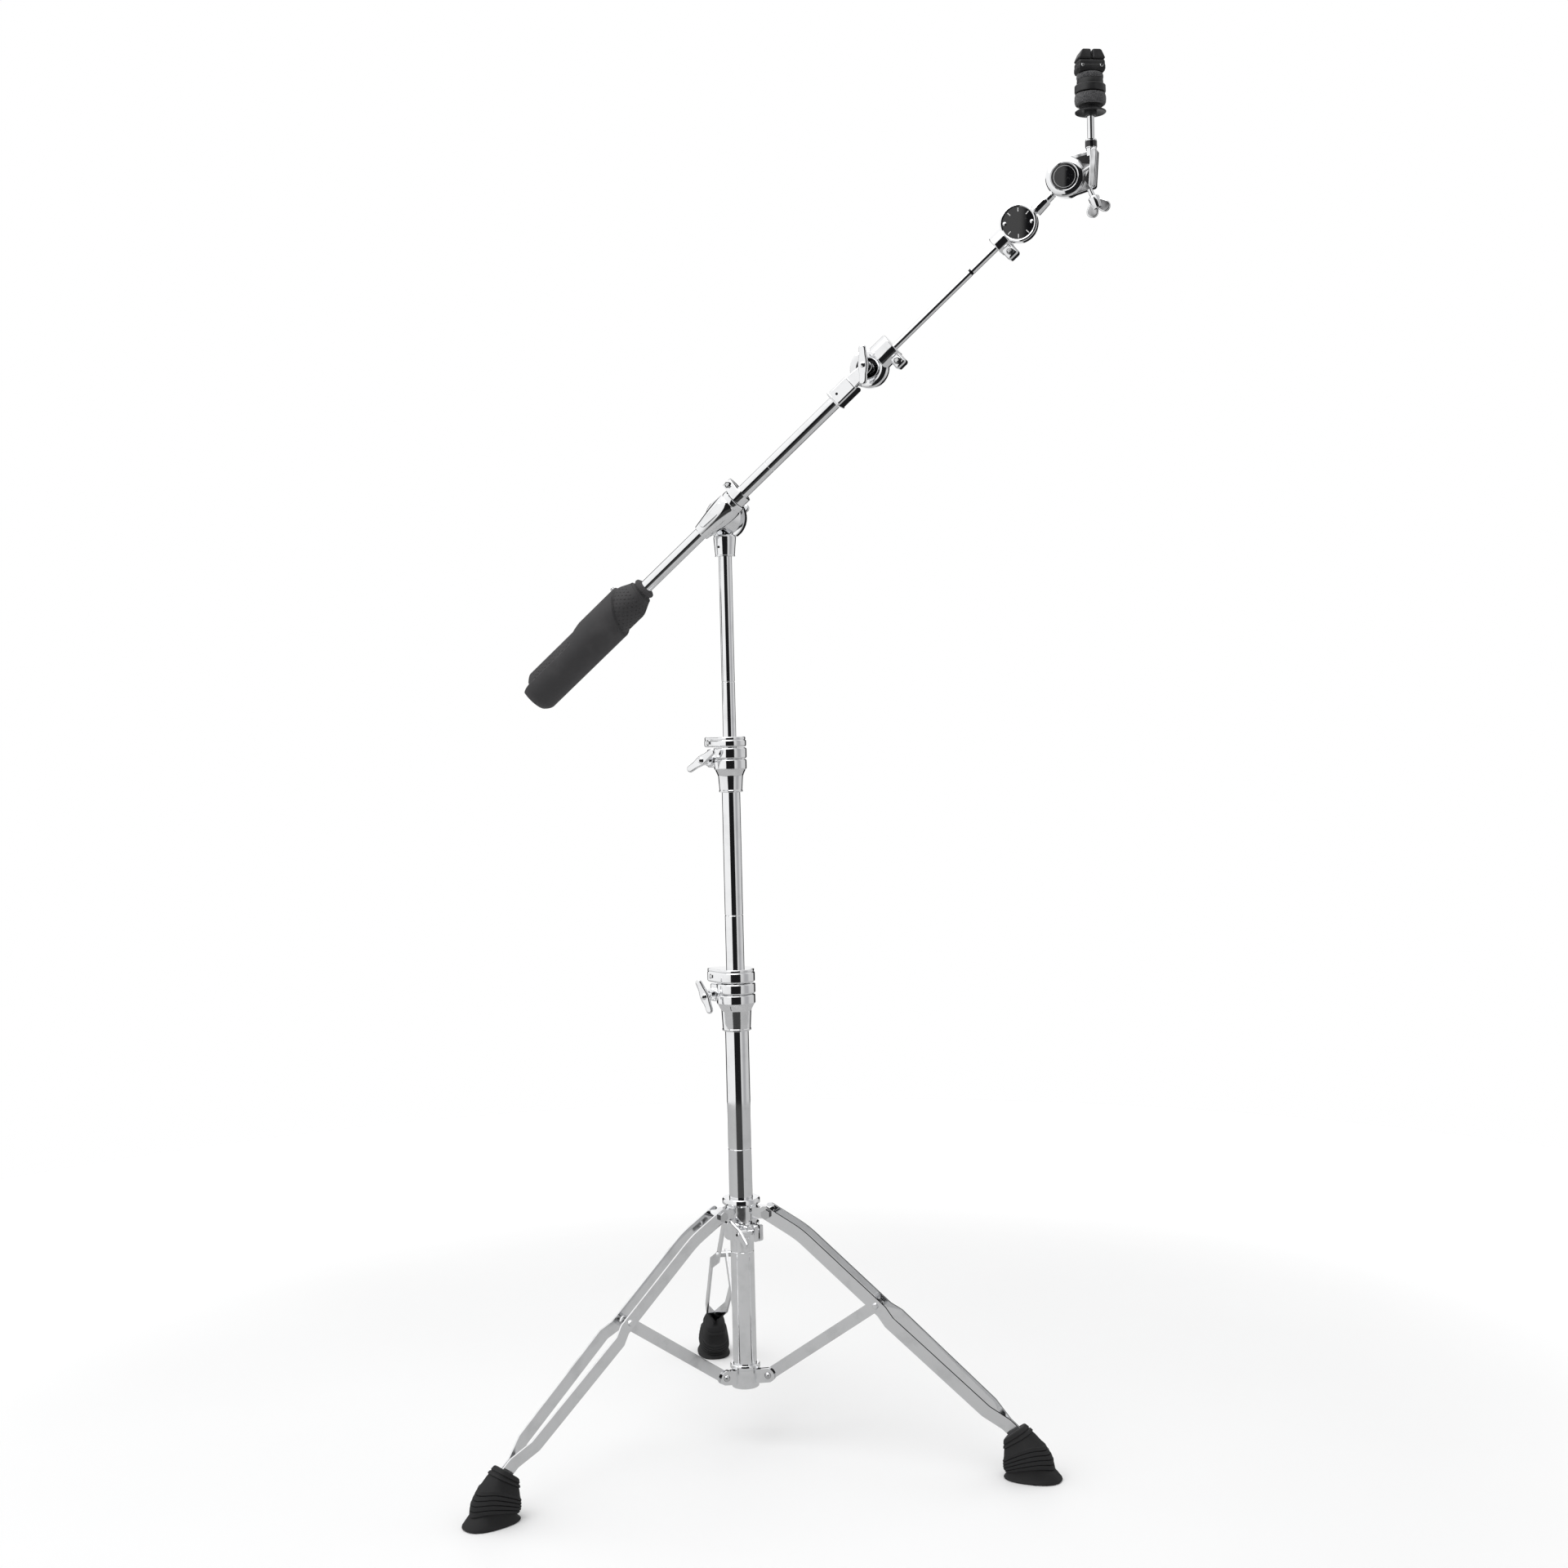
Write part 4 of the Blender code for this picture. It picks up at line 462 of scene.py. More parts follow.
def soften(shape, amount, least_angle=40, segments=2):
    """Rounds the sharp edges of a blank."""
    sharp = [
        edge for edge in shape.edges
        if len(edge.link_faces) == 2 and edge.calc_face_angle(0) > math.radians(least_angle)
    ]
    bmesh.ops.bevel(
        shape, geom=sharp, offset=amount, offset_type="OFFSET", affect="EDGES", segments=segments, profile=0.5,
        material=-1, clamp_overlap=True,
    )
    return shape


def plate(circles, low, high, rounding=0.0, steps=40, segments=3):
    """A plate whose outline wraps circles (x, y, radius), with rounded rims."""
    shape = bmesh.new()
    for x, y, radius in circles:
        bmesh.ops.create_cone(
            shape, cap_ends=True, segments=steps, radius1=radius, radius2=radius, depth=high - low,
            matrix=shifted(x, y, (low + high) / 2),
        )
    wrapped = bmesh.ops.convex_hull(shape, input=shape.verts)
    inside = set(wrapped["geom_interior"]) | set(wrapped["geom_unused"])
    spare = [item for item in inside if isinstance(item, bmesh.types.BMVert)]
    bmesh.ops.delete(shape, geom=spare, context="VERTS")
    kept = set(wrapped["geom"])
    bmesh.ops.delete(shape, geom=[f for f in shape.faces if f not in kept], context="FACES_ONLY")
    bmesh.ops.dissolve_limit(shape, angle_limit=math.radians(0.5), verts=shape.verts, edges=shape.edges)
    if rounding:
        soften(shape, rounding, 60, segments)
    bmesh.ops.recalc_face_normals(shape, faces=shape.faces)
    return shape


def block(low, high, rounding=0.0, segments=3):
    """A box between two corners, with rounded edges."""
    shape = bmesh.new()
    size = Vector(high) - Vector(low)
    middle = (Vector(high) + Vector(low)) / 2
    bmesh.ops.create_cube(shape, size=1, matrix=Matrix.Translation(middle) @ Matrix.Diagonal((*size, 1)))
    if rounding:
        soften(shape, rounding, 40, segments)
    return shape


def joined(*shapes):
    """Several blanks as one; each is a blank, or a blank with the frame it belongs in."""
    whole = bmesh.new()
    for item in shapes:
        shape, place = item if isinstance(item, tuple) else (item, Matrix())
        part = bpy.data.meshes.new("part")
        shape.to_mesh(part)
        shape.free()
        part.transform(place)
        whole.from_mesh(part)
        bpy.data.meshes.remove(part)
    return whole


def piece(name, shape, place, body, material, stands_for=(), crease=35):
    """Moves a finished blank into the model, with its place in its mesh, and lets it ride on a body."""
    mesh = bpy.data.meshes.new(name)
    shape.to_mesh(mesh)
    shape.free()
    mesh.transform(place)
    if place.determinant() < 0:
        mesh.flip_normals()
    mesh.shade_smooth()
    mesh.set_sharp_from_angle(angle=math.radians(crease))
    mesh.materials.append(material)
    made = bpy.data.objects.new(name, mesh)
    scene.collection.objects.link(made)
    even = made.modifiers.new("even_normals", "WEIGHTED_NORMAL")
    even.keep_sharp = True
    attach(made, body)
    if stands_for:
        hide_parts(*stands_for)
    print("piece", name, "on", body, "with", len(mesh.polygons), "faces")
    return made


# %% [markdown]
# ## Parts straight from the solids
# The leg and stay collars, the flat bars and a few discs and bolts are already the right shape. A copy of each
# solid is merged, its flat faces are made whole, and its edges get the small rounding that a real part has after
# it is buffed and plated. Bushings and hidden pieces keep their solid and only get a better finish.

# %% Polished copies
BODY_OF = {node: body for body, nodes in frame["record"]["behaviour"]["bodies"].items() for node in nodes}


def polished(node, material=cast_plating, rounding=0.0005):
    shape = bmesh.new()
    shape.from_mesh(frame["nodes"][node].data)
    bmesh.ops.remove_doubles(shape, verts=shape.verts, dist=0.00002)
    bmesh.ops.dissolve_limit(shape, angle_limit=math.radians(1.0), verts=shape.verts, edges=shape.edges)
    soften(shape, rounding, 45, 2)
    piece("polished_" + node, shape, Matrix(), BODY_OF[node], material, (node,), 32)


def refinish(node, material):
    frame["nodes"][node].material_slots[0].material = material


for node in ("leg_collar", "stay_collar", "boom_memory_ring", "head_disc"):
    polished(node)
for number in (1, 2, 3):
    for side in ("left", "right"):
        polished(f"leg_{number}_{side}_bar", bar_plating, rounding=0.0004)
    polished(f"stay_{number}", bar_plating)
    polished(f"leg_{number}_pivot_bolt", screw_steel, rounding=0.0004)
    refinish(f"stay_{number}_spacer", screw_steel)
for node in ("lower_bushing", "upper_bushing"):
    refinish(node, nylon)
for node in ("counterweight_core", "counterweight_screw"):
    refinish(node, screw_steel)

# %% [markdown]
# ## Tubes and rods
# Straight tubes show the dark panels best, so they are turned afresh with many more sides than the solids have.
# Each has the fine ring that the maker rolls in where a stop or a wear sleeve ends.

# %% Tubes
GROOVE_DEPTH, GROOVE_WIDTH = 0.00035, 0.0008
TUBE_EDGE, TUBE_WALL = 0.0004, 0.0012
BASE_RADIUS, MIDDLE_RADIUS, UPPER_RADIUS, BOOM_RADIUS = 0.0143, 0.0111, 0.00795, 0.00795


def tube_profile(radius, low, high, grooves):
    inner = radius - TUBE_WALL
    outer = [(inner, high), (radius - TUBE_EDGE, high), (radius, high - TUBE_EDGE)]
    for level in sorted(grooves, reverse=True):
        outer += [(radius, level + GROOVE_WIDTH), (radius - GROOVE_DEPTH, level + GROOVE_WIDTH / 2)]
        outer += [(radius - GROOVE_DEPTH, level - GROOVE_WIDTH / 2), (radius, level - GROOVE_WIDTH)]
    return outer + [(radius, low + TUBE_EDGE), (radius - TUBE_EDGE, low), (inner, low), (inner, high)]


def mast_tube(node, radius, grooves):
    low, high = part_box(node)
    profile = tube_profile(radius, low.z, high.z, grooves)
    piece("plated_" + node, turned(profile, 64), mast, BODY_OF[node], tube_plating, (node,))


mast_tube("base_tube", BASE_RADIUS, (0.363, 0.238))
mast_tube("middle_tube", MIDDLE_RADIUS, (0.646,))
mast_tube("upper_tube", UPPER_RADIUS, (0.927,))

BOOM_TUBE_START, BOOM_TUBE_END = -0.2700, 0.2120
profile = tube_profile(BOOM_RADIUS, BOOM_TUBE_START, BOOM_TUBE_END, (0.086,))
piece("plated_boom_tube", turned(profile, 64), boom @ along_x, "boom", tube_plating, ("boom_tube",))

# %% [markdown]
# The boom's slim rod has a narrow step near its upper end, with a dark band in its groove as painted shade. Both
# solid rods are eight millimetres thick, and a small bevel keeps their ends from looking cut from paper.

# %% Rods
ROD_RADIUS, ROD_NECK = 0.0040, 0.0034
ROD_START, ROD_END, ROD_STEP_AT = 0.0168, 0.2120, 0.1575
rod_profile = [
    (0, ROD_END), (0.0036, ROD_END), (ROD_RADIUS, ROD_END - 0.0004),
    (ROD_RADIUS, ROD_STEP_AT + 0.0016), (ROD_NECK, ROD_STEP_AT + 0.0012),
    (ROD_NECK, ROD_STEP_AT - 0.0012), (ROD_RADIUS, ROD_STEP_AT - 0.0016),
    (ROD_RADIUS, ROD_START + 0.0004), (0.0036, ROD_START), (0, ROD_START),
]
rod = frame_at(spot("rod_turn"), ALONG, ACROSS, FRONT)
piece("plated_boom_rod", turned(rod_profile, 40), rod @ along_x, "rod", tube_plating, ("boom_rod",))
# A dark ring in the step's groove: painted shade.
band = turned([(0.0034, 0.0013), (0.00375, 0.0013), (0.00375, -0.0013), (0.0034, -0.0013), (0.0034, 0.0013)], 40)
piece("rod_step_groove_shade", band, rod @ shifted(ROD_STEP_AT, 0, 0) @ along_x, "rod", painted_hollow_shade)

low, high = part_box("cymbal_rod")
cymbal = shifted((low.x + high.x) / 2, (low.y + high.y) / 2, 0)
profile = [(0, high.z), (ROD_NECK, high.z), (ROD_RADIUS, high.z - 0.0008), (ROD_RADIUS, low.z), (0, low.z)]
piece("plated_cymbal_rod", turned(profile, 40), cymbal, "head", tube_plating, ("cymbal_rod",))

# %% [markdown]
# ## Wing bolts
# A wing bolt is a small casting: two leaf-shaped wings swept a little forward, a round hub that stands proud,
# and a dark disc on its hub, painted shade for the hollow end of its roll pin. One function makes them all, and
# each joint's axis places it. The head's screw is different: its two broad leaves stand in line with the screw, as
# on a thumb screw.

# %% Wings
HUB, WING_THICKNESS, WING_SWEEP = 0.0062, 0.0056, 0.0022
STUD_RADIUS = 0.0030


def wing_shape(reach, tip, shank):
    half = WING_THICKNESS / 2
    leaf = plate([(0, 0, HUB), (reach - tip, 0, tip), (tip - reach, 0, tip)], -half, half,
                 WING_THICKNESS * 0.42, 28, 4)
    long_edges = [edge for edge in leaf.edges if edge.calc_length() > 0.006]
    bmesh.ops.subdivide_edges(leaf, edges=long_edges, cuts=4, use_grid_fill=False)
    for vert in leaf.verts:
        share = abs(vert.co.x) / reach
        vert.co.z = vert.co.z * (1 - 0.25 * share) - WING_SWEEP * share * share
        tip_flare = 0.22 * max(0.0, share - 0.55)
        waist = 1.4 * max(0.0, 0.13 - abs(share - 0.45))
        vert.co.y *= 1 + tip_flare - waist
    boss = turned([(0, 0.0085), (HUB * 0.92, 0.0085), (HUB, 0.0070), (HUB, 0.0), (0, 0.0)], 32)
    cap = turned([(0, -half - 0.0012), (HUB * 0.45, -half - 0.0010), (HUB * 0.62, -half), (HUB * 0.62, 0.0),
                  (0, 0.0)], 32)
    return joined(leaf, boss, cap, stud(STUD_RADIUS * 0.8, shank, 0.006))


def stud(end_radius, end, start):
    return turned([(0, end), (end_radius, end), (STUD_RADIUS, end - 0.0008), (STUD_RADIUS, start), (0, start)], 24)


def wing(node, joint, hint, shank, reach=0.0215, tip=0.0040):
    place = aimed(spot(joint), direction(joint), hint)
    body = joints[joint]["child"]
    piece("cast_" + node, wing_shape(reach, tip, shank), place, body, cast_plating, (node,), 40)
    # A dark disc on the hub: painted shade of the roll pin's hollow end.
    dot = turned([(0, -0.0006), (0.0015, -0.0006), (0.0017, 0.0), (0.0017, 0.001), (0, 0.001)], 20)
    level = shifted(0, 0, -WING_THICKNESS / 2 - 0.0011)
    piece("pin_of_" + node, dot, place @ level, body, painted_hollow_shade)


def leaning(joint, degrees):
    """A direction across the bolt's axis, this many degrees above the level line to its right."""
    axis = direction(joint)
    level = axis.cross(UP).normalized()
    rise = level.cross(axis)
    return level * math.cos(math.radians(degrees)) + rise * math.sin(math.radians(degrees))


def butterfly(node, joint, shank):
    place = aimed(spot(joint), direction(joint), direction(joint).cross(FRONT))
    along_screw = Matrix.Rotation(math.radians(-90), 4, "X")
    leaves = []
    for side in (-1, 1):
        circles = [(side * 0.0072, 0.0040, 0.0066), (side * 0.0022, -0.0030, 0.0052)]
        leaves.append((plate(circles, -0.0020, 0.0020, 0.0013, 28, 4), along_screw))
    boss = turned([(0, 0.0110), (0.0052, 0.0110), (0.0062, 0.0098), (0.0062, 0.0020), (0.0050, -0.0030),
                   (0, -0.0045)], 40)
    shape = joined(*leaves, boss, stud(0.0024, shank, 0.0090))
    piece("cast_" + node, shape, place, joints[joint]["child"], cast_plating, (node,), 40)


wing("leg_collar_wing_bolt", "leg_collar_wing_turn", leaning("leg_collar_wing_turn", -35), 0.0325)
wing("lower_wing_bolt", "lower_wing_turn", leaning("lower_wing_turn", -67.6), 0.0385)
wing("upper_wing_bolt", "upper_wing_turn", leaning("upper_wing_turn", 34.5), 0.0385)
wing("tilter_wing_bolt", "tilter_wing_turn", ALONG, 0.0390, 0.0260, 0.0050)
wing("knuckle_wing_bolt", "knuckle_wing_turn", UP, 0.0352, 0.0225, 0.0042)
butterfly("head_wing_bolt", "head_wing_turn", 0.0272)

# %% [markdown]
# ## Key screws
# Rings and rod clamps are tightened with a drum key. Such a screw has a round washer head with a square post.

# %% Square-headed screws


def key_screw(name, place, body, radius):
    washer = turned([(0, 0.0016), (radius * 0.80, 0.0016), (radius, 0.0010), (radius, -0.0010), (0, -0.0010)], 28)
    post = block((-0.0020, -0.0020, 0.0), (0.0020, 0.0020, 0.0042), 0.0004, 2)
    piece(name, joined(washer, post), place, body, screw_steel)
    # A dark ring round the post: painted shade of the recess in the screw's head.
    inner, outer = radius * 0.60, radius * 0.80
    recess_shade = turned([(inner, 0.0017), (outer, 0.0017), (radius * 0.70, 0.0012), (inner, 0.0017)], 28)
    piece(name + "_well", recess_shade, place, body, painted_hollow_shade)


EAR_AZIMUTH = math.radians(155)  # where the clamps' and rings' ears point
EAR_OUT = Vector((math.cos(EAR_AZIMUTH), math.sin(EAR_AZIMUTH), 0))
EAR_SIDE = EAR_OUT.cross(UP)
EAR_REACH = 0.0037  # of an ear's centre, past its band
LOWER_BAND, UPPER_BAND = 0.0235, 0.0198


def ring_screw(name, node, band):
    low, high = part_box(node)
    centre = EAR_OUT * (band + EAR_REACH) + UP * (low.z + (high.z - low.z) * 0.45)
    place = mast @ aimed(centre - EAR_SIDE * 0.0092, -EAR_SIDE, UP)
    key_screw(name, place, BODY_OF[node], 0.0036)


ring_screw("lower_ring_screw", "lower_memory_ring", LOWER_BAND)
ring_screw("upper_ring_screw", "upper_memory_ring", UPPER_BAND)
key_screw("boom_ring_screw", boom @ shifted(0.0353, 0.0172, 0.0062), "boom_swivel", 0.0046)
key_screw("knuckle_clamp_screw", knuckle @ shifted(0.0306, -0.0190, 0.0076), "knuckle", 0.0046)
key_screw("angle_clamp_screw", angle @ shifted(-0.0272, -0.0165, 0.0076), "rod", 0.0044)

# %% [markdown]
# ## Mast clamps
# A clamp is a stack of castings: a tapered socket on the tube below, a split housing with a boss for the wing
# bolt, and a memory ring with a longer ear. Each band is turned or wrapped afresh with fully rounded rims,
# because a rounded band bends the dark panel into the small black squares that polished castings show.

# %% Clamps and rings


def mast_clamp(label, body, band, below, tube, housing_from):
    """band is the radius outside; below and tube are the radii of the tubes under it and inside it."""
    low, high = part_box(f"{label}_clamp")
    ear = EAR_OUT * (band + EAR_REACH)
    split = low.z + housing_from
    middle = (split + high.z) / 2
    socket = turned([
        (tube + 0.002, split + 0.001), (band - 0.0010, split + 0.001), (band - 0.0016, split - 0.0006),
        (below + 0.0046, split - 0.0062), (below + 0.0040, split - 0.0080), (below + 0.0028, low.z + 0.0030),
        (below + 0.0034, low.z + 0.0022), (below + 0.0032, low.z + 0.0006), (below + 0.0022, low.z),
        (below + 0.0004, low.z), (below + 0.0004, low.z + 0.012), (tube + 0.002, split + 0.001),
    ], 72)
    lower_band = plate([(0, 0, band)], split, middle - 0.0004, 0.0022, 72, 4)
    upper_band = plate([(0, 0, band + 0.0003)], middle, high.z, 0.0022, 72, 4)
    web_outline = [(0, 0, band * 0.7), (ear.x * 0.92, ear.y * 0.92, 0.0080)]
    web = plate(web_outline, split + 0.0030, high.z - 0.0016, 0.002, 40)
    boss = turned([(0, 0.0118), (0.0060, 0.0118), (0.0078, 0.0100), (0.0078, -0.0100), (0.0060, -0.0118),
                   (0, -0.0118)], 40)
    bolt = aimed(ear + UP * spot(f"{label}_wing_turn").z, -EAR_SIDE, UP)
    shape = joined(socket, lower_band, upper_band, web, (boss, bolt))
    piece(f"cast_{label}_clamp", shape, mast, body, cast_plating, (f"{label}_clamp",))


def memory_ring(label, body, band):
    low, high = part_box(f"{label}_memory_ring")
    ear = EAR_OUT * (band + EAR_REACH)
    ring = plate([(0, 0, band), (ear.x, ear.y, 0.0095)], low.z + 0.0004, high.z - 0.0034, 0.0024, 64, 4)
    crown = plate([(0, 0, band - 0.0008), (ear.x, ear.y, 0.0087)], high.z - 0.0042, high.z, 0.0014, 64, 3)
    shape = joined(ring, crown)
    piece(f"cast_{label}_ring", shape, mast, body, cast_plating, (f"{label}_memory_ring",))
    # A dark block in the ring's split: painted shade of the gap.
    split_shade = block((band + 0.0020, -0.0010, low.z + 0.0012), (ear.length + 0.0096, 0.0010, high.z - 0.0010))
    piece(f"{label}_ring_split_shade", split_shade, mast @ Matrix.Rotation(EAR_AZIMUTH, 4, "Z"), body, painted_hollow_shade)


mast_clamp("lower", "base", LOWER_BAND, BASE_RADIUS, MIDDLE_RADIUS, 0.0320)
memory_ring("lower", "base", LOWER_BAND)
mast_clamp("upper", "middle_section", UPPER_BAND, MIDDLE_RADIUS, UPPER_RADIUS, 0.0270)
memory_ring("upper", "middle_section", UPPER_BAND)

# %% [markdown]
# ## Main tilter
# The sleeve that holds the boom is a cone-shaped casting, fatter towards the memory ring. It sits on a round
# boss that meets the disc of the tilter base. The base is a tapered socket with a short neck up to its disc.

# %% Sleeve and base
upright = frame_at(mast.translation + UP * spot("tilter_hinge").z, OUT, UP, FRONT)
hinge_shift = (spot("tilter_hinge") - upright.translation).dot(FRONT)
stand_up = aimed((0, 0, 0), (0, 1, 0), (1, 0, 0))  # stands a turned blank along a frame's Y
DISC_BACK, DISC_FRONT = -0.0323, -0.0223


def tilter_sleeve():
    barrel = turned([
        (0.0082, -0.0290), (0.0094, -0.0290), (0.0101, -0.0284), (0.0104, -0.0270), (0.0125, -0.0140),
        (0.0146, -0.0010), (0.0155, 0.0080), (0.0158, 0.0150), (0.0156, 0.0200), (0.0150, 0.0212),
        (0.0147, 0.0222), (0.0152, 0.0236), (0.0150, 0.0282), (0.0142, 0.0290), (0.0082, 0.0290),
        (0.0082, -0.0290),
    ], 72)
    boss = turned([(0, -0.0070), (0.0128, -0.0070), (0.0150, -0.0090), (0.0205, -0.0205), (0.0210, -0.0216),
                   (0.0206, -0.0220), (0, -0.0220)], 72)
    pad = plate([(-0.0170, 0.0020, 0.0042), (0.0120, 0.0020, 0.0056)], 0.0118, 0.0150, 0.0014, 32)
    piece("cast_sleeve", joined((barrel, along_x), boss, pad), boom, BODY_OF["boom_sleeve"], cast_plating,
          ("boom_sleeve",))


def tilter_base():
    low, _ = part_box("tilter_base")
    bottom = low.z - spot("tilter_hinge").z
    socket = turned([
        (0, bottom + 0.0262), (0.0118, bottom + 0.0262), (0.0130, bottom + 0.0250), (0.0136, bottom + 0.0225),
        (0.0118, bottom + 0.0020), (0.0122, bottom + 0.0014), (0.0120, bottom + 0.0004), (0.0110, bottom),
        (0, bottom),
    ], 64)
    disc = turned([(0, DISC_FRONT), (0.0246, DISC_FRONT), (0.0255, DISC_FRONT - 0.0010),
                   (0.0255, DISC_BACK + 0.0012), (0.0243, DISC_BACK), (0, DISC_BACK)], 72)
    neck_back = hinge_shift + DISC_BACK + 0.0008
    neck = block((-0.0112, bottom + 0.0200, neck_back), (0.0112, bottom + 0.0350, 0.0), 0.0024)
    shape = joined((socket, stand_up), (disc, shifted(0, 0, hinge_shift)), neck)
    body = BODY_OF["tilter_base"]
    piece("cast_tilter_base", shape, upright, body, cast_plating, ("tilter_base",))
    # A dark disc: painted shade of the socket's pin hole.
    hole = turned([(0, 0.0120), (0.0014, 0.0120), (0.0016, 0.0112), (0, 0.0112)], 20)
    at = upright @ shifted(-0.0035, bottom + 0.0115, 0.0007)
    piece("tilter_socket_pin_hole_shade", hole, at, body, painted_hollow_shade)


tilter_sleeve()
tilter_base()

# %% [markdown]
# ## Knuckle and rod clamps
# The knuckle is an open ring gripped by its wing bolt. A square-shouldered socket with a narrow tongue joins it
# from the boom's side, and a rod clamp with a keyed ear leaves it on the other. The angle joint has the same
# kind of clamp, so one function makes both.

# %% Knuckle ring, arm and clamps


def rod_collar(start, end, drop, radius, stretch):
    """A collar on the rod's line with an ear hanging below it, as two blanks."""
    collar = plate([(drop, 0, radius), (drop + stretch, 0, radius)], start, end, 0.0016, 48, 3)
    ear = block((end - 0.0150, drop - 0.0240, -0.0076), (end - 0.0005, drop - 0.0060, 0.0076), 0.0034, 4)
    facing_along = frame_at((0, 0, 0), (0, 1, 0), (0, 0, 1), (1, 0, 0))
    return (collar, facing_along), ear


def knuckle_parts():
    ring = turned([
        (0.0108, 0.0030), (0.0116, 0.0050), (0.0136, 0.0060), (0.0190, 0.0060), (0.0216, 0.0048), (0.0230, 0.0022),
        (0.0230, -0.0042), (0.0216, -0.0068), (0.0190, -0.0080), (0.0033, -0.0080), (0.0033, -0.0044),
        (0.0100, -0.0044), (0.0108, -0.0036), (0.0108, 0.0030),
    ], 80)
    shape = joined(ring, *rod_collar(0.0140, 0.0385, -0.0027, 0.0128, 0.0062))
    piece("cast_knuckle_ring", shape, knuckle, "knuckle", cast_plating, ("knuckle_ring",))
    # A dark lining inside the open ring: painted shade of its hollow.
    recess_shade = turned([(0, -0.0041), (0.0099, -0.0041), (0.0106, -0.0034), (0.0106, 0.0010), (0.01075, 0.0010),
                   (0.01075, -0.0043), (0, -0.0043), (0, -0.0041)], 48)
    piece("knuckle_well", recess_shade, knuckle, "knuckle", painted_hollow_shade)
    arm = block((0.1940, -0.0100, -0.0100), (0.2254, 0.0100, 0.0135), 0.0030, 4)
    lip = block((0.1938, -0.0106, -0.0104), (0.1975, 0.0106, 0.0139), 0.0022, 3)
    tongue = plate([(0.2190, 0, 0.0088), (0.2490, 0, 0.0064)], 0.0066, 0.0130, 0.0012, 40)
    piece("cast_knuckle_arm", joined(arm, lip, tongue), boom, "boom", cast_plating, ("knuckle_arm",))
    # A dark disc on the arm: painted shade of a pin hole.
    pin = turned([(0, 0.0004), (0.0014, 0.0004), (0.0016, 0), (0, 0)], 20)
    piece("knuckle_arm_pin_hole_shade", pin, boom @ shifted(0.2030, 0.0015, 0.0136), "boom", painted_hollow_shade)


def angle_parts():
    base = turned([(0, 0.0080), (0.0185, 0.0080), (0.0200, 0.0088), (0.0211, 0.0082), (0.0215, 0.0072),
                   (0.0215, 0.0002), (0.0205, -0.0010), (0, -0.0010)], 80)
    shape = joined(base, *rod_collar(-0.0362, -0.0198, 0.0, 0.0126, 0.0001))
    piece("cast_angle_base", shape, angle, "rod", cast_plating, ("angle_base",))
    disc = turned([(0, -0.0013), (0.0180, -0.0013), (0.0190, -0.0024), (0.0190, -0.0074), (0.0180, -0.0085),
                   (0, -0.0085)], 64)
    bar = turned([
        (0, 0.0468), (0.0040, 0.0468), (0.0046, 0.0462), (0.0046, 0.0404), (0.0056, 0.0396), (0.0060, 0.0384),
        (0.0072, 0.0236), (0.0070, 0.0226), (0.0060, 0.0220), (0.0034, 0.0218), (0.0034, 0.0080), (0, 0.0080),
    ], 48)
    shape = joined(disc, (bar, shifted(0, 0, -0.0050) @ along_x))
    body = BODY_OF["angle_stem"]
    piece("cast_angle_stem", shape, angle, body, cast_plating, ("angle_stem",))
    # A dark bar along the stem: painted shade of its slot.
    slot_shade = block((0.0262, -0.0010, 0.0013), (0.0372, 0.0010, 0.0022), 0.0004, 2)
    piece("stem_slot_shade", slot_shade, angle, body, painted_hollow_shade)


knuckle_parts()
angle_parts()

# %% [markdown]
# ## Rubber feet
# Each foot is a moulded boot: a square collar grips the bars, a ridge runs down the outer side, and stepped
# ribs fold round it in a V. The outline is one ring of points. It is extruded level by level, and each new ring
# is moved to that level's size, lean and height, which gives clean quads for the steps.

# %% Boots
BOOT_TOP, BOOT_CENTRE, BOOT_TOP_CENTRE = 0.0520, 0.3570, 0.3350
BOOT_POINTS = 56


def boot_levels():
    """(share down the boot, swelling, how deep the V is) for every ring."""
    levels = [(0.0, -0.0030, 0.0), (0.004, -0.0008, 0.0), (0.02, 0.0, 0.0), (0.085, 0.0002, 0.0)]
    levels += [(0.10, -0.0006, 0.0), (0.112, -0.0006, 0.0), (0.125, 0.0004, 0.0), (0.17, 0.0006, 0.0)]
    levels += [(0.185, -0.0008, 0.0)]
    levels += [(0.24, -0.0004, 0.15), (0.34, 0.0, 0.5)]
    start, end, ribs = 0.40, 0.80, 5
    for rib in range(ribs):
        top = start + (end - start) * rib / ribs
        depth = (end - start) / ribs
        levels += [(top, 0.0006, 1.0), (top + depth * 0.12, 0.0014, 1.0), (top + depth * 0.80, 0.0010, 1.0)]
        levels += [(top + depth * 0.94, 0.0002, 1.0), (top + depth * 0.97, -0.0006, 1.0)]
    levels += [(0.84, 0.0002, 0.7), (0.90, 0.0006, 0.3), (0.955, 0.0012, 0.08), (0.975, 0.0018, 0.0)]
    return levels + [(0.993, 0.0016, 0.0), (1.0, 0.0004, 0.0)]


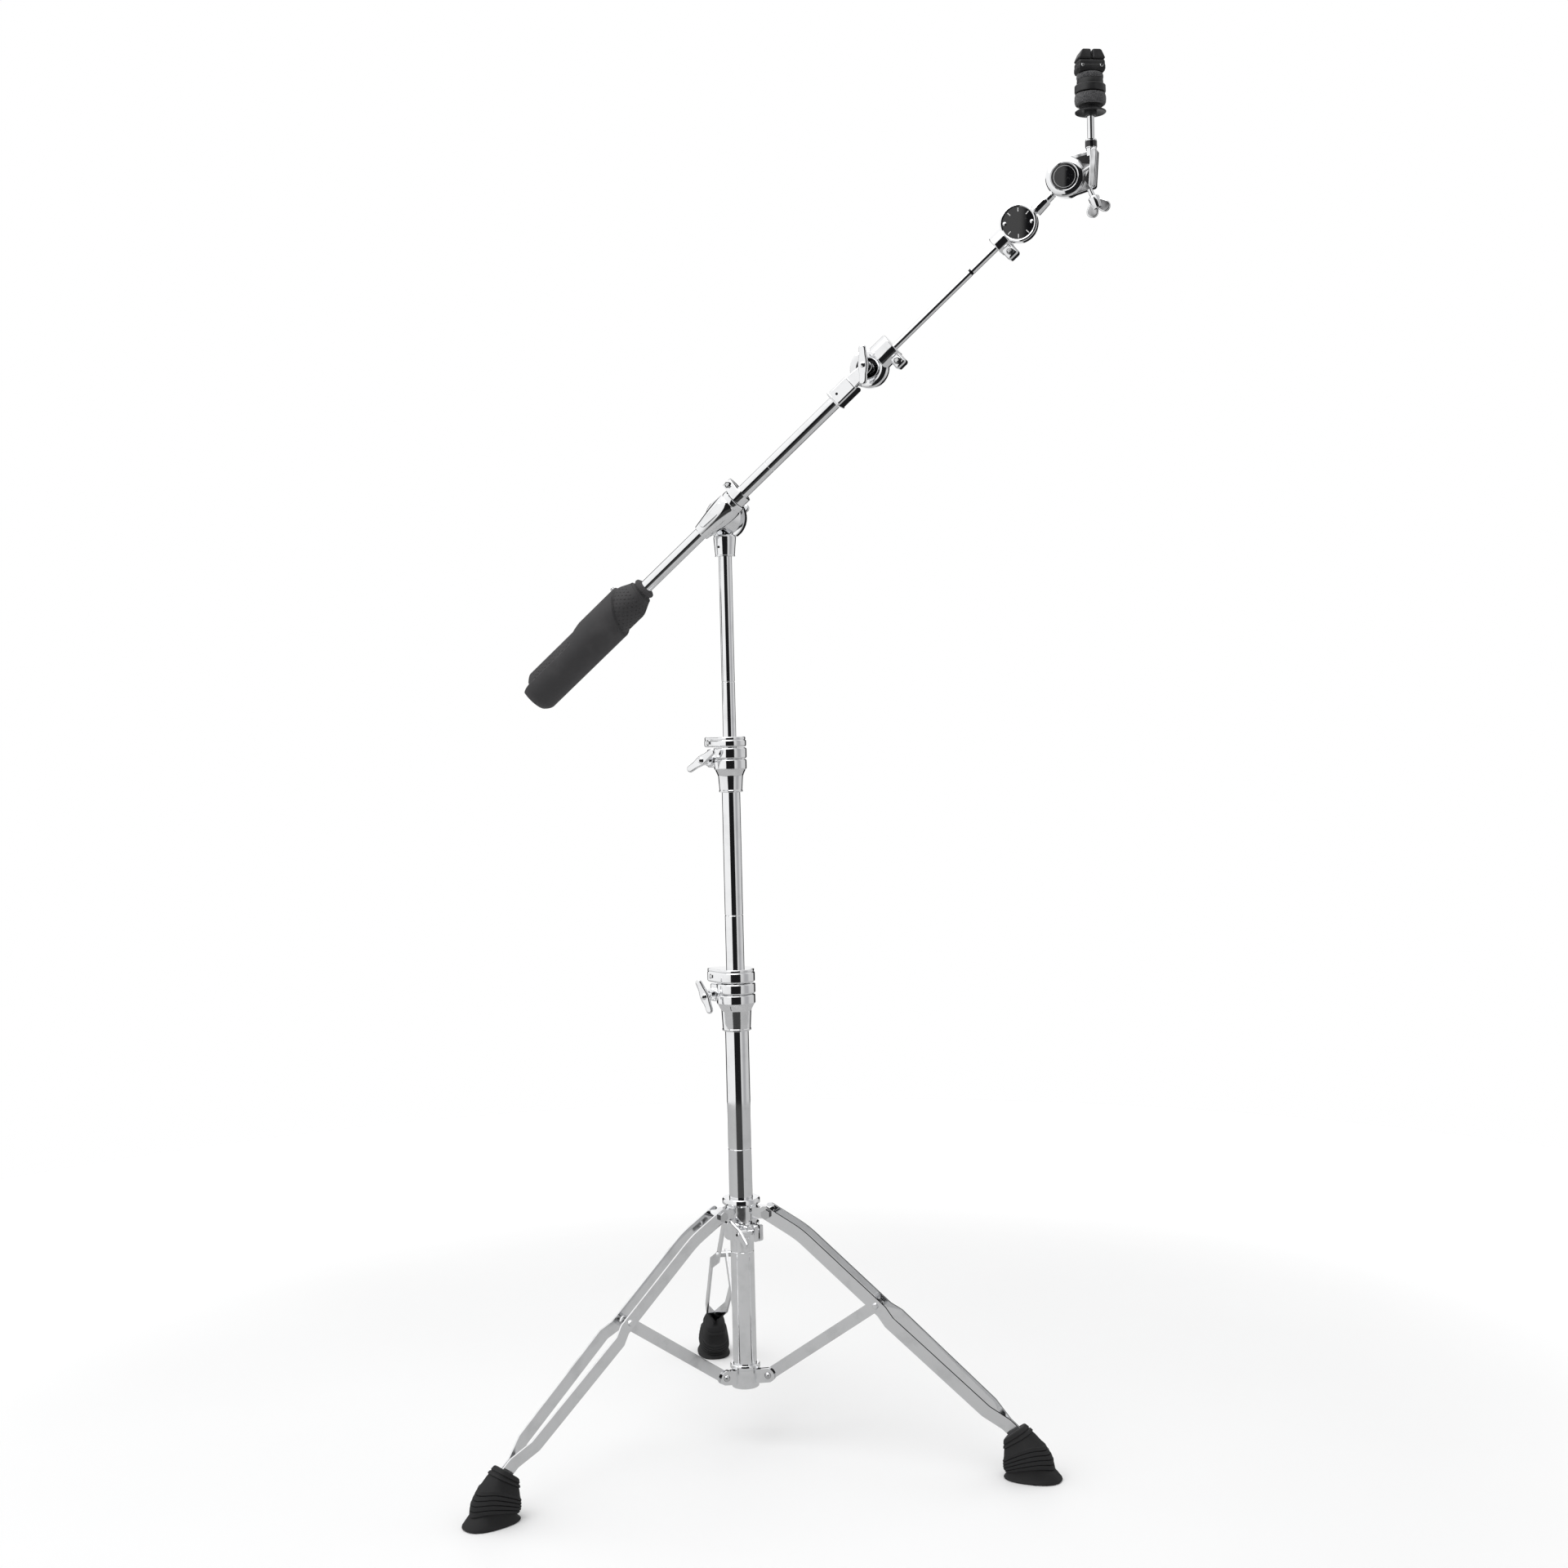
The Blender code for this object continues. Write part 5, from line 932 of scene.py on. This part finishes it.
def boot_point(angle, share, swell, v_depth):
    """One point of the skin; the angle is 0 on the outer side, and the frame's X points away from the mast."""
    cosine, sine = math.cos(angle), math.sin(angle)
    side = abs(sine) ** 1.3
    drop = v_depth * 0.105 * (0.55 - side)
    level = min(max(share + drop, 0.0), 1.0)
    centre = BOOT_TOP_CENTRE + (BOOT_CENTRE - BOOT_TOP_CENTRE) * level**0.9
    length = 0.0140 + 0.0185 * level**0.8
    width = 0.0125 + 0.0080 * math.sin(level * math.pi / 2)
    waist = 1 - 0.10 * math.exp(-(((level - 0.82) / 0.10) ** 2))
    tilt = math.radians(38) * (1 - level) ** 0.8
    squareness = 2 / (3.6 - 1.2 * level)
    ridge = 1 + 0.10 * math.exp(-((angle / 0.30) ** 2)) * math.sin(math.pi * min(1.0, level * 1.15)) ** 0.5
    x = (length * waist + swell) * math.copysign(abs(cosine) ** squareness, cosine) * ridge
    y = (width * waist + swell) * math.copysign(abs(sine) ** squareness, sine)
    if cosine > 0:
        y *= 1 - 0.16 * max(0.0, cosine - 0.35) * math.sin(math.pi * level)
    height = BOOT_TOP * (1 - level) ** 0.95
    return Vector((centre + x * math.cos(tilt), y, max(0.0, height + x * math.sin(tilt))))


def boot():
    shape = bmesh.new()
    ring = bmesh.ops.create_circle(shape, cap_ends=True, segments=BOOT_POINTS, radius=1.0)["verts"]
    levels = boot_levels()
    for index, (share, swell, v_depth) in enumerate(levels):
        if index:
            edges = [e for e in shape.edges if len(e.link_faces) < 2 and all(v in ring for v in e.verts)]
            made = bmesh.ops.extrude_edge_only(shape, edges=edges)["geom"]
            fresh = [item for item in made if isinstance(item, bmesh.types.BMVert)]
            ring = [min(fresh, key=lambda new: (new.co - old.co).length) for old in ring]
        for step, vert in enumerate(ring):
            angle = math.pi * 2 * step / BOOT_POINTS
            angle = angle if angle <= math.pi else angle - 2 * math.pi
            vert.co = boot_point(angle, share, swell, v_depth)
    bmesh.ops.contextual_create(shape, geom=ring)
    bmesh.ops.recalc_face_normals(shape, faces=shape.faces)
    return shape


for number in (1, 2, 3):
    tangent = direction(f"leg_{number}_fold")
    radial = tangent.cross(UP)
    place = frame_at(mast.translation, radial, tangent, UP)
    piece(f"boot_{number}", boot(), place, f"leg_{number}", foot_rubber, (f"foot_{number}",), 30)

# %% [markdown]
# ## Counterweight cover
# The steel weight wears a thick rubber jacket. A raised band crosses its upper end and runs down one side;
# the sunk panel beside it and the shoulder above it are dimpled for grip. The jacket starts as a fine tube
# grid, and each point's radius is set from where it lies: on the band, in the panel, or in a dimple.

# %% Jacket
WEIGHT_TOP, WEIGHT_END = -0.1240, -0.3225
JACKET_RADIUS, SHOULDER_RADIUS, BAND_HEIGHT = 0.0229, 0.0150, 0.0028
DIMPLE_DEPTH = 0.0010
JACKET_POINTS, JACKET_ROWS = 132, 150


def rise(value, low, high):
    """0 below low and 1 above high, with a smooth step between."""
    share = min(max((value - low) / (high - low), 0.0), 1.0)
    return share * share * (3 - 2 * share)


def on_band(turn_angle, along):
    """1 on the raised band and 0 off it. The angle is 0 at the front and grows towards the upper side."""
    sine = math.sin(turn_angle)
    degrees = math.degrees(turn_angle)
    below_shoulder = 1 - rise(along, -0.168 + 0.015 * sine, -0.1665 + 0.015 * sine)
    upper_side = rise(degrees, 17, 23) * (1 - rise(degrees, 197, 203))
    foot_of_band = -0.2150 - 0.0215 * (1 - rise(degrees, 20, 75))
    panel = upper_side * (1 - rise(along, foot_of_band - 0.0012, foot_of_band + 0.0008))
    return below_shoulder * (1 - panel)


def jacket():
    shape = bmesh.new()
    ring = bmesh.ops.create_circle(shape, cap_ends=False, segments=JACKET_POINTS, radius=1.0)["verts"]
    rows = [ring]
    for _ in range(JACKET_ROWS):
        edges = [e for e in shape.edges if all(v in rows[-1] for v in e.verts)]
        made = bmesh.ops.extrude_edge_only(shape, edges=edges)["geom"]
        fresh = [item for item in made if isinstance(item, bmesh.types.BMVert)]
        bmesh.ops.translate(shape, verts=fresh, vec=(0, 0, -1))
        by_place = {(round(v.co.x, 5), round(v.co.y, 5)): v for v in fresh}
        rows.append([by_place[(round(v.co.x, 5), round(v.co.y, 5))] for v in rows[-1]])
    body_top = WEIGHT_TOP - 0.0090
    length = body_top - WEIGHT_END
    for row, verts in enumerate(rows):
        along = body_top - length * row / JACKET_ROWS
        for step, vert in enumerate(verts):
            turn_angle = 2 * math.pi * step / JACKET_POINTS
            turn_angle = turn_angle if turn_angle < math.radians(260) else turn_angle - 2 * math.pi
            band = on_band(turn_angle, along)
            shoulder = rise(body_top - along, -0.004, 0.020)
            radius = SHOULDER_RADIUS + (JACKET_RADIUS - SHOULDER_RADIUS) * shoulder + BAND_HEIGHT * band
            dimpled = band < 0.02 and row % 3 == 0 and (step + 3 * (row // 3 % 2)) % 6 == 0
            if dimpled and body_top - 0.004 > along > WEIGHT_END + 0.016:
                radius -= DIMPLE_DEPTH
            ending = rise(along, WEIGHT_END, WEIGHT_END + 0.010)
            radius *= 0.80 + 0.20 * ending**0.5 if ending > 0 else 0.80
            lift = 0.0095 * (1 - band) * rise(-along, 0.285, 0.3225)
            vert.co = (along + lift, radius * math.sin(turn_angle), radius * math.cos(turn_angle))
    for verts in (rows[0], rows[-1]):
        bmesh.ops.contextual_create(shape, geom=verts)
    end = [f for f in shape.faces if len(f.verts) > 4 and f.calc_center_median().x < -0.25]
    bmesh.ops.inset_region(shape, faces=end, thickness=0.004, depth=0.0015)
    bmesh.ops.recalc_face_normals(shape, faces=shape.faces)
    return shape


collar_profile = [
    (0.0083, -0.1238), (0.0112, -0.1238), (0.0134, -0.1252), (0.0139, -0.1268), (0.0136, -0.1284),
    (0.0124, -0.1296), (0.0122, -0.1310), (0.0140, -0.1322), (0.0152, -0.1345), (0.0083, -0.1345),
    (0.0083, -0.1238),
]
piece("counterweight_jacket", jacket(), boom, "counterweight", weight_rubber, ("counterweight_cover",),
      34)
piece("counterweight_collar", turned(collar_profile, 56), boom @ along_x, "counterweight", weight_rubber)
tip = turned([(0, 0.0292), (0.0012, 0.0292), (0.0017, 0.0286), (0.0025, 0.0262), (0.0025, 0.0240), (0, 0.0240)],
             24)
at = boom @ shifted(-0.1580, 0, 0) @ stand_up
piece("counterweight_screw_tip", tip, at, "counterweight_screw", screw_steel)

# %% [markdown]
# ## Angle joint dial
# The disc carries a glossy black dial with plain white marks, held by two small rivets inside a bright rim. The
# marks could be painted in the material. Thin raised bars are used, because they stay crisp in the mesh.

# %% Dial
DIAL_FACE = 0.0082


def dial():
    face = turned([(0, 0.0007), (0.0176, 0.0007), (0.0184, 0.0003), (0.0184, -0.0002), (0, -0.0002)], 64)
    on_dial = angle @ shifted(0, 0, DIAL_FACE)
    piece("dial_face", face, on_dial, "rod", black_gloss)
    top = DIAL_FACE + 0.0006
    plumb = angle @ Matrix.Rotation(math.pi / 2 - math.asin(ALONG.z), 4, "Z")
    ticks = []
    for degrees in (0, 45, 135, 180, 225, 315):
        turn_tick = Matrix.Rotation(math.radians(-degrees), 4, "Z")
        ticks.append((block((0.0125, -0.00045, top), (0.0168, 0.00045, top + 0.0003)), turn_tick))
    piece("dial_marks", joined(*ticks), plumb, "rod", white_mark)
    for label, degrees in (("left", 90), ("right", -90)):
        rivet = turned([(0, 0.0012), (0.0012, 0.0012), (0.0022, 0.0006), (0.0024, 0), (0, 0)], 24)
        at = plumb @ Matrix.Rotation(math.radians(degrees), 4, "Z") @ shifted(0.0155, 0, top)
        piece(f"dial_rivet_{label}", rivet, at, "rod", screw_steel)
    rim = turned([(0.0184, 0.0), (0.0184, 0.0012), (0.0196, 0.0018), (0.0212, 0.0012), (0.0216, 0.0),
                  (0.0184, 0.0)], 64)
    piece("dial_rim", rim, on_dial, "rod", cast_plating)


dial()

# %% [markdown]
# ## Top tilter
# The arm is a leaf-shaped casting: a round boss at the hinge, a straight spine under the cymbal rod, and two
# black inlays with a diagonal rib between them. The hinge disc wears a bright ring round a black cap.

# %% Arm and inlays
HEAD_RADIUS, HEAD_THICKNESS = 0.0219, 0.0112
SPINE_TOP, SPINE_BOTTOM = (0.0340, 0.0240), (0.0314, -0.0120)
CYMBAL_OFFSET, CYMBAL_DEPTH = 0.0293, 0.0062


def inlay(points, low, high, rounding):
    """A flat plate with a drawn outline."""
    shape = bmesh.new()
    corners = [shape.verts.new((x, y, low)) for x, y in points]
    base = bmesh.ops.contextual_create(shape, geom=corners)["faces"]
    sides = bmesh.ops.extrude_face_region(shape, geom=base)["geom"]
    lifted = [item for item in sides if isinstance(item, bmesh.types.BMVert)]
    bmesh.ops.translate(shape, verts=lifted, vec=(0, 0, high - low))
    bmesh.ops.recalc_face_normals(shape, faces=shape.faces)
    return soften(shape, rounding, 40, 2)


def arc(radius, first, last, steps=10):
    turns = [math.radians(first + (last - first) * step / steps) for step in range(steps + 1)]
    return [(radius * math.cos(turn), radius * math.sin(turn)) for turn in turns]


def head_arm():
    low, high = 0.0003, HEAD_THICKNESS
    outline = [(0, 0, HEAD_RADIUS), (*SPINE_TOP, 0.0030), (*SPINE_BOTTOM, 0.0030)]
    body = plate(outline, low, high - 0.0016, 0.0009, 72)
    spine_line = [(0.0326, 0.0250, 0.0036), (0.0300, -0.0112, 0.0036)]
    spine = plate(spine_line, low + 0.0002, high + 0.0006, 0.0010, 24)
    rib = plate([(0.0190, 0.0030, 0.0013), (0.0330, 0.0105, 0.0013)], 0.006, high - 0.0004, 0.0005, 16)
    socket = turned([(0.0043, 0.0388), (0.0056, 0.0388), (0.0062, 0.0380), (0.0062, 0.0290), (0.0056, 0.0284),
                     (0.0056, 0.0200), (0, 0.0200)], 36)
    rod_line = shifted(CYMBAL_OFFSET, 0, CYMBAL_DEPTH) @ stand_up
    shape = joined(body, spine, rib, (socket, rod_line))
    piece("tilter_arm", shape, head, "head", cast_plating, ("head_arm",))
    sleeve = turned([(0.0063, 0.0368), (0.0066, 0.0366), (0.0066, 0.0302), (0.0063, 0.0300), (0.0063, 0.0368)],
                    36)
    piece("rod_socket_sleeve", sleeve, head @ rod_line, "head", black_gloss)


def head_trim():
    high = HEAD_THICKNESS
    face = high - 0.0018
    upper = arc(0.0232, 72, 22) + [(0.0285, 0.0110), (0.0285, 0.0225)]
    lower = arc(0.0232, 10, -34) + [(0.0268, -0.0125), (0.0278, 0.0068)]
    for label, outline in (("upper", upper), ("lower", lower)):
        shape = inlay(outline, face, face + 0.0006, 0.0002)
        piece(f"arm_inlay_{label}", shape, head, "head", black_gloss)
    ring = turned([(0.0148, high - 0.0020), (0.0148, high + 0.0012), (0.0160, high + 0.0022),
                   (0.0184, high + 0.0020), (0.0208, high + 0.0006), (0.0219, high - 0.0020),
                   (0.0148, high - 0.0020)], 72)
    piece("tilter_ring", ring, head, "head", cast_plating)
    cap = turned([(0, high + 0.0008), (0.0140, high + 0.0008), (0.0149, high + 0.0002), (0.0149, high - 0.0016),
                  (0, high - 0.0016)], 64)
    piece("tilter_cap", cap, head, "head", black_gloss)
    line = turned([(0.0118, 0.0), (0.0118, 0.0003), (0.0123, 0.0003), (0.0123, 0.0), (0.0118, 0.0)], 64)
    piece("tilter_cap_line", line, head @ shifted(0, 0, high + 0.0007), "head", screw_steel)


head_arm()
head_trim()

# %% [markdown]
# ## Felts and sleeve
# A cymbal sits between two felt washers on a plastic sleeve. Felt bulges where it is squeezed, so each washer
# is turned with crowned sides, then its skin is pushed about by a few tenths of a millimetre.

# %% Felt washers
FELT_BORE, FELT_ROUGHNESS = 0.0067, 0.00012


def felt_washer(name, node, radius):
    low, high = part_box(node)
    middle, half = (low.z + high.z) / 2, (high.z - low.z) / 2
    crown = ((-0.0014, 1), (-0.0005, 0.86), (0.0002, 0.5), (0.0004, 0), (0.0002, -0.5), (-0.0005, -0.86),
             (-0.0014, -1))
    side = [(radius + bulge, half * level) for bulge, level in crown]
    shape = turned([(FELT_BORE, half)] + side + [(FELT_BORE, -half), (FELT_BORE, half)], 72)
    bmesh.ops.subdivide_edges(shape, edges=shape.edges, cuts=1, use_grid_fill=True)
    for vert in shape.verts:
        reach = math.hypot(vert.co.x, vert.co.y)
        wobble = math.sin(vert.co.x * 2900 + vert.co.z * 1700) * math.sin(vert.co.y * 3100 - vert.co.z * 2300)
        if reach > FELT_BORE * 1.2:
            vert.co.x *= 1 + FELT_ROUGHNESS / reach * wobble
            vert.co.y *= 1 + FELT_ROUGHNESS / reach * wobble
    washer = piece(name, shape, cymbal @ shifted(0, 0, middle), "head", felt_mat, (node,), 60)


felt_washer("lower_felt_washer", "lower_felt", 0.0170)
felt_washer("upper_felt_washer", "upper_felt", 0.0144)

# %% [markdown]
# The cone washer under the felts has a flared rim, and the sleeve that goes through the cymbal has a wide flange.
# Both are moulded rounds, so each is one turned profile: (radius, share of the solid's height).

# %% Cone washer and sleeve


def stack_piece(node, profile):
    low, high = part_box(node)
    shape = turned([(radius, low.z + (high.z - low.z) * share) for radius, share in profile], 64)
    piece("moulded_" + node, shape, cymbal, "head", black_plastic, (node,))


stack_piece("cone_washer", [
    (0.0043, 1.0), (0.0122, 1.0), (0.0132, 0.95), (0.0134, 0.90), (0.0122, 0.82), (0.0118, 0.76), (0.0124, 0.68),
    (0.0142, 0.58), (0.0164, 0.50), (0.0172, 0.45), (0.0172, 0.38), (0.0166, 0.34), (0.0158, 0.37), (0.0110, 0.50),
    (0.0070, 0.52), (0.0066, 0.16), (0.0060, 0.10), (0.0043, 0.10), (0.0043, 1.0),
])
stack_piece("cymbal_sleeve", [
    (0.0043, 1.0), (0.0063, 0.99), (0.0063, 0.83), (0.0138, 0.83), (0.0144, 0.81), (0.0146, 0.74), (0.0145, 0.645),
    (0.0164, 0.635), (0.0171, 0.61), (0.0172, 0.42), (0.0168, 0.385), (0.0063, 0.38), (0.0063, 0.0), (0.0043, 0.0),
    (0.0043, 1.0),
])

# %% [markdown]
# ## Quick-release nut
# The nut is a moulded box with rounded corners. Two levers with sloping shoulders sit on top; pressing them
# together frees the rod. A steel pin holds each lever, and its head shows at the front.

# %% Nut and levers
NUT_TURN = math.radians(25)
LEVER_HALF_LENGTH, LEVER_GAP, LEVER_REACH = 0.0110, 0.0007, 0.0150
LEVER_STEM, LEVER_PIN_AT = 0.0101, 0.0105
nut = cymbal @ Matrix.Rotation(math.atan2(OUT.y, OUT.x) + NUT_TURN, 4, "Z")


def nut_body():
    low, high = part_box("quick_nut")
    body = block((-0.0150, -0.0110, low.z), (0.0150, 0.0110, high.z), 0.0026, 4)
    belt = block((-0.0153, -0.0113, low.z + 0.0016), (0.0153, 0.0113, low.z + 0.0086), 0.0020, 3)
    piece("nut_body", joined(body, belt), nut, "quick_nut", black_plastic, ("quick_nut",))


def lever(label, side):
    node = f"release_lever_{label}"
    low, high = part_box(node)
    base = low.z + LEVER_STEM
    left, right = sorted((side * LEVER_GAP, side * LEVER_REACH))
    body = block((left, -LEVER_HALF_LENGTH, base - 0.0008), (right, LEVER_HALF_LENGTH, high.z - 0.0022), 0.0020, 4)
    for vert in body.verts:
        lifted = max(0.0, (vert.co.z - base) / (high.z - base) - 0.35)
        vert.co.x -= side * 0.0105 * lifted * max(0.0, (abs(vert.co.x) - 0.006) / 0.009)
        vert.co.y *= 1 - 0.16 * lifted
    foot = block((side * 0.0085 - 0.002, -0.0040, low.z), (side * 0.0105 + 0.002, 0.0040, base + 0.002), 0.0004, 2)
    piece(f"lever_{label}", joined(body, foot), nut, f"lever_{label}", black_plastic, (node,))


nut_body()
lever("left", -1)
lever("right", 1)
pin_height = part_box("quick_nut")[1].z - 0.0070
for label, side in (("left", -1), ("right", 1)):
    head_of_pin = turned([(0, 0.0010), (0.0014, 0.0009), (0.0019, 0.0003), (0.0019, -0.0012), (0, -0.0012)], 24)
    at = nut @ aimed((side * LEVER_PIN_AT, -0.0113, pin_height), (0, -1, 0), (1, 0, 0))
    piece(f"nut_pin_{label}", head_of_pin, at, "quick_nut", screw_steel)

# %% [markdown]
# ## Small hardware
# Domed rivets close the stay collar's ears, and the knuckle shows a round nut inside its open ring.

# %% Rivets and the knuckle's nut
RIVET_HALF = 0.0052  # half the distance between the two domes
dome = [(0, 0.0024), (0.0016, 0.0021), (0.0034, 0.0010), (0.0042, -0.0005), (0.0025, -0.0005)]
profile = [(radius, RIVET_HALF + level) for radius, level in dome]
profile += [(radius, -level) for radius, level in reversed(profile)]
for number in (1, 2, 3):
    low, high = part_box(f"collar_rivet_{number}")
    place = aimed((low + high) / 2, direction(f"leg_{number}_fold"), UP)
    stands_for = (f"collar_rivet_{number}",)
    piece(f"domed_rivet_{number}", turned(profile, 36), place, "base", screw_steel, stands_for)

nut_profile = [(0.0034, 0.0036), (0.0060, 0.0036), (0.0068, 0.0028), (0.0068, 0.0), (0.0034, 0.0),
               (0.0034, 0.0036)]
place = knuckle @ shifted(0, 0, -0.0040)
piece("knuckle_inner_nut", turned(nut_profile, 36), place, "knuckle", screw_steel)
